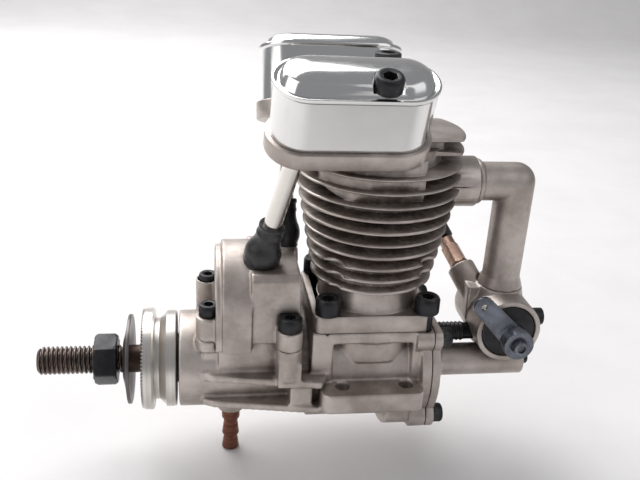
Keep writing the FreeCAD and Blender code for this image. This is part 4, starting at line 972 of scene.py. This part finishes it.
class ENGINE_OT_propeller_drive(bpy.types.Operator):
    """Makes the threaded shaft, nut, washer and serrated flange"""
    bl_idname = "engine.propeller_drive"
    bl_label = "Propeller drive"

    def execute(self, context):
        sizes = context.scene.engine_sizes
        shaft_low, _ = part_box("crankshaft")
        flange_low, flange_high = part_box("drive_flange")
        tip, root = shaft_low.x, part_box("prop_washer")[1].x - 1.5 * MM
        radius = max(point.y for point in points_of("crankshaft") if point.x < tip + 3 * MM)
        thread = threaded_bar(tip, root, radius, sizes.thread_pitch, sizes.thread_depth)
        finished(link("shaft_thread", thread), material_for("crankshaft"), "crankshaft")
        rest = link("shaft_body", welded_mesh("crankshaft"))
        work = bmesh.new()
        work.from_mesh(rest.data)
        sliced = bmesh.ops.bisect_plane(work, geom=work.verts[:] + work.edges[:] + work.faces[:],
                                        plane_co=(root, 0, 0), plane_no=(1, 0, 0), clear_inner=True)
        edges = [item for item in sliced["geom_cut"] if isinstance(item, bmesh.types.BMEdge)]
        bmesh.ops.holes_fill(work, edges=edges)
        work.to_mesh(rest.data)
        work.free()
        finished(rest, material_for("crankshaft"), "crankshaft")
        machined("prop_nut", BROAD_EDGE)
        machined("prop_washer", FINE_EDGE)
        self.flange(sizes, flange_low, flange_high)
        return {"FINISHED"}

    def flange(self, sizes, low, high):
        """The flange: a lathed body with a recessed face that holds the teeth."""
        rim, tooth, bore = high.y, 0.42 * MM, 4.9 * MM
        outline = [(0, bore), (0, 8.9 * MM), (tooth, 9.1 * MM), (tooth, rim - 0.5 * MM),
                   (tooth + 0.25 * MM, rim - 0.1 * MM), (2.9 * MM, rim), (3.3 * MM, rim - 0.5 * MM),
                   (3.6 * MM, rim - 3.0 * MM), (4.9 * MM, rim - 3.0 * MM), (6.6 * MM, rim - 1.2 * MM),
                   (6.9 * MM, rim - 0.8 * MM), (9.3 * MM, rim - 0.8 * MM), (9.6 * MM, rim - 1.1 * MM),
                   (9.6 * MM, 7.2 * MM), (high.x - low.x, 6.4 * MM), (high.x - low.x, bore)]
        body = aimed(turned(outline, 128), Vector((low.x, 0, 0)), X)
        piece = link("drive_flange_dressed", body)
        ring_of_teeth = link("flange_teeth_pattern", bpy.data.meshes.new("teeth"))
        inner, outer = 9.0 * MM, rim - 0.35 * MM
        run_tree(ring_of_teeth, bpy.data.node_groups["Ring of teeth"], Count=sizes.flange_teeth,
                 Middle_Radius=(inner + outer) / 2, Length=outer - inner, Width=tooth * 1.25,
                 Material=material_for("drive_flange"))
        teeth = aimed(ring_of_teeth.data.copy(), Vector((low.x + tooth * 1.25, 0, 0)), X)
        bpy.data.objects.remove(ring_of_teeth)
        join_meshes(piece, [teeth])
        finished(piece, material_for("drive_flange"), "drive_flange")


class ENGINE_OT_carburettor(bpy.types.Operator):
    """Makes the carburettor with its lever, barrel, needles and screws"""
    bl_idname = "engine.carburettor"
    bl_label = "Carburettor"

    def execute(self, context):
        cast("carburettor_body", detail=0.8, rounding=4)
        for node in ("throttle_lever", "throttle_barrel", "idle_needle", "carburettor_stay",
                     "needle_holder", "main_needle", "fuel_nipple", "carburettor_screws"):
            machined(node, FINE_EDGE)
        return {"FINISHED"}


CAP_PROFILE = (  # distance from the foot and radius, in millimetres
    (0.0, 1.6), (0.0, 3.0), (0.3, 3.25), (1.0, 3.45), (13.2, 3.45), (13.6, 3.35), (13.8, 3.0),
    (13.8, 1.9), (10.0, 1.9), (10.0, 1.0), (5.8, 1.0), (5.8, 1.6))


class ENGINE_OT_small_parts(bpy.types.Operator):
    """Makes the breather nipple, the glow plug and its cap"""
    bl_idname = "engine.small_parts"
    bl_label = "Nipple and plug"

    def execute(self, context):
        for node in ("breather_nipple", "glow_plug"):
            machined(node, FINE_EDGE)
        low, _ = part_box("plug_cap")
        sleeve = aimed(turned(scaled(CAP_PROFILE)), Vector((0, 0, low.z)), Z)
        finished(link("plug_cap_dressed", sleeve), material_for("plug_cap"), "plug_cap")
        return {"FINISHED"}


# ---- stage -----------------------------------------------------------------------

CAMERA_PLACE = Vector((-0.0478, -0.20074, 0.12246))
CAMERA_YAW, CAMERA_PITCH, CAMERA_ROLL = math.radians(9.25), math.radians(22.76), math.radians(3.35)
CAMERA_LENS, SENSOR_WIDTH = 43.95, 36.0


def camera_axes():
    """The camera's right, up and forward directions."""
    forward = Vector((math.sin(CAMERA_YAW) * math.cos(CAMERA_PITCH),
                      math.cos(CAMERA_YAW) * math.cos(CAMERA_PITCH), -math.sin(CAMERA_PITCH)))
    level = Vector((math.cos(CAMERA_YAW), -math.sin(CAMERA_YAW), 0))
    overhead = level.cross(forward)
    cosine, sine = math.cos(CAMERA_ROLL), math.sin(CAMERA_ROLL)
    return level * cosine + overhead * sine, overhead * cosine - level * sine, forward


class ENGINE_OT_stage(bpy.types.Operator):
    """Sets the floor, lamps, world and camera"""
    bl_idname = "engine.stage"
    bl_label = "Stage"

    def execute(self, context):
        scene = context.scene
        self.floor(context)
        self.lamps(scene)
        right, upward, forward = camera_axes()
        lens = bpy.data.cameras.new("camera")
        lens.lens, lens.sensor_width, lens.sensor_fit = CAMERA_LENS, SENSOR_WIDTH, "HORIZONTAL"
        lens.clip_start, lens.clip_end = 0.01, 20
        camera = bpy.data.objects.new("camera", lens)
        turn = Matrix((right, upward, -forward)).transposed().to_4x4()
        camera.matrix_world = Matrix.Translation(CAMERA_PLACE) @ turn
        scene.collection.objects.link(camera)
        scene.camera = camera
        scene.view_settings.view_transform = "Standard"
        return {"FINISHED"}

    def floor(self, context):
        """A paper sweep: flat under the engine and curved up behind it."""
        level = CAD_BOX[0][2] - 0.1 * MM
        half, back, bend = 1.6, 0.9, 0.4
        outline = [(-half, 0.0), (back, 0.0)]
        outline += [(back + bend * math.sin(k * math.pi / 24), bend * (1 - math.cos(k * math.pi / 24)))
                    for k in range(1, 13)]
        outline.append((back + bend, 1.6))
        points = [(side * half, y, level + z) for y, z in outline for side in (-1, 1)]
        faces = [(2 * k, 2 * k + 1, 2 * k + 3, 2 * k + 2) for k in range(len(outline) - 1)]
        mesh = bpy.data.meshes.new("paper")
        mesh.from_pydata(points, [], faces)
        mesh.shade_smooth()
        floor = link("paper_sweep", mesh)
        mesh.materials.append(paper())

    def lamps(self, scene):
        world = bpy.data.worlds.new("studio")
        scene.world = world
        world.use_nodes = True
        background = world.node_tree.nodes["Background"]
        background.inputs["Color"].default_value = (0.95, 0.96, 1.0, 1)
        background.inputs["Strength"].default_value = 0.30
        target = Vector((-0.02, 0, 0.02))
        for name, place, size, power in (
                ("window", (-0.35, 0.45, 0.75), 0.9, 11.0), ("fill", (0.7, -0.6, 0.7), 0.9, 1.9),
                ("front", (-0.8, -0.3, 0.5), 0.7, 2.0)):
            lamp = bpy.data.lights.new(name, "AREA")
            lamp.shape, lamp.size, lamp.energy = "SQUARE", size, power
            holder = bpy.data.objects.new(name, lamp)
            holder.location = place
            holder.rotation_euler = (target - Vector(place)).to_track_quat("-Z", "Y").to_euler()
            scene.collection.objects.link(holder)


def paper():
    material, tree, shader, place = surface("white paper", 0.0, 0.85)
    fibre = grouped(tree, "Surface grain", Vector=place, Grain_Size=0.9 * MM, Patch_Size=60 * MM)
    tree.links.new(blended(tree, fibre["Patch"], (0.80, 0.785, 0.78), (0.84, 0.825, 0.82)),
                   shader.inputs["Base Color"])
    bumped(tree, shader, fibre["Height"], 0.03 * MM, 0.2)
    return material


# ---- panel and registration ------------------------------------------------------

STEPS = (ENGINE_OT_materials, ENGINE_OT_castings, ENGINE_OT_cylinder, ENGINE_OT_rocker_covers,
         ENGINE_OT_screws, ENGINE_OT_pushrod_tubes, ENGINE_OT_propeller_drive, ENGINE_OT_carburettor,
         ENGINE_OT_small_parts, ENGINE_OT_stage)


class ENGINE_PT_panel(bpy.types.Panel):
    """Lists the engine's pieces and their sizes and colours"""
    bl_idname = "ENGINE_PT_panel"
    bl_label = "Model Glow Engine"
    bl_space_type = "VIEW_3D"
    bl_region_type = "UI"
    bl_category = "Engine"

    def draw(self, context):
        for step in STEPS:
            self.layout.operator(step.bl_idname)
        for group in (context.scene.engine_sizes, context.scene.engine_colours):
            column = self.layout.column()
            for name in group.bl_rna.properties.keys():
                if name not in ("rna_type", "name"):
                    column.prop(group, name)


CLASSES = (EngineColours, EngineSizes, *STEPS, ENGINE_PT_panel)


def register():
    for made in CLASSES:
        bpy.utils.register_class(made)
    bpy.types.Scene.engine_colours = PointerProperty(type=EngineColours)
    bpy.types.Scene.engine_sizes = PointerProperty(type=EngineSizes)


def unregister():
    del bpy.types.Scene.engine_sizes
    del bpy.types.Scene.engine_colours
    for made in reversed(CLASSES):
        bpy.utils.unregister_class(made)


def main():
    register()
    for step in STEPS:
        group, name = step.bl_idname.split(".")
        getattr(getattr(bpy.ops, group), name)()


if __name__ == "__main__":
    main()
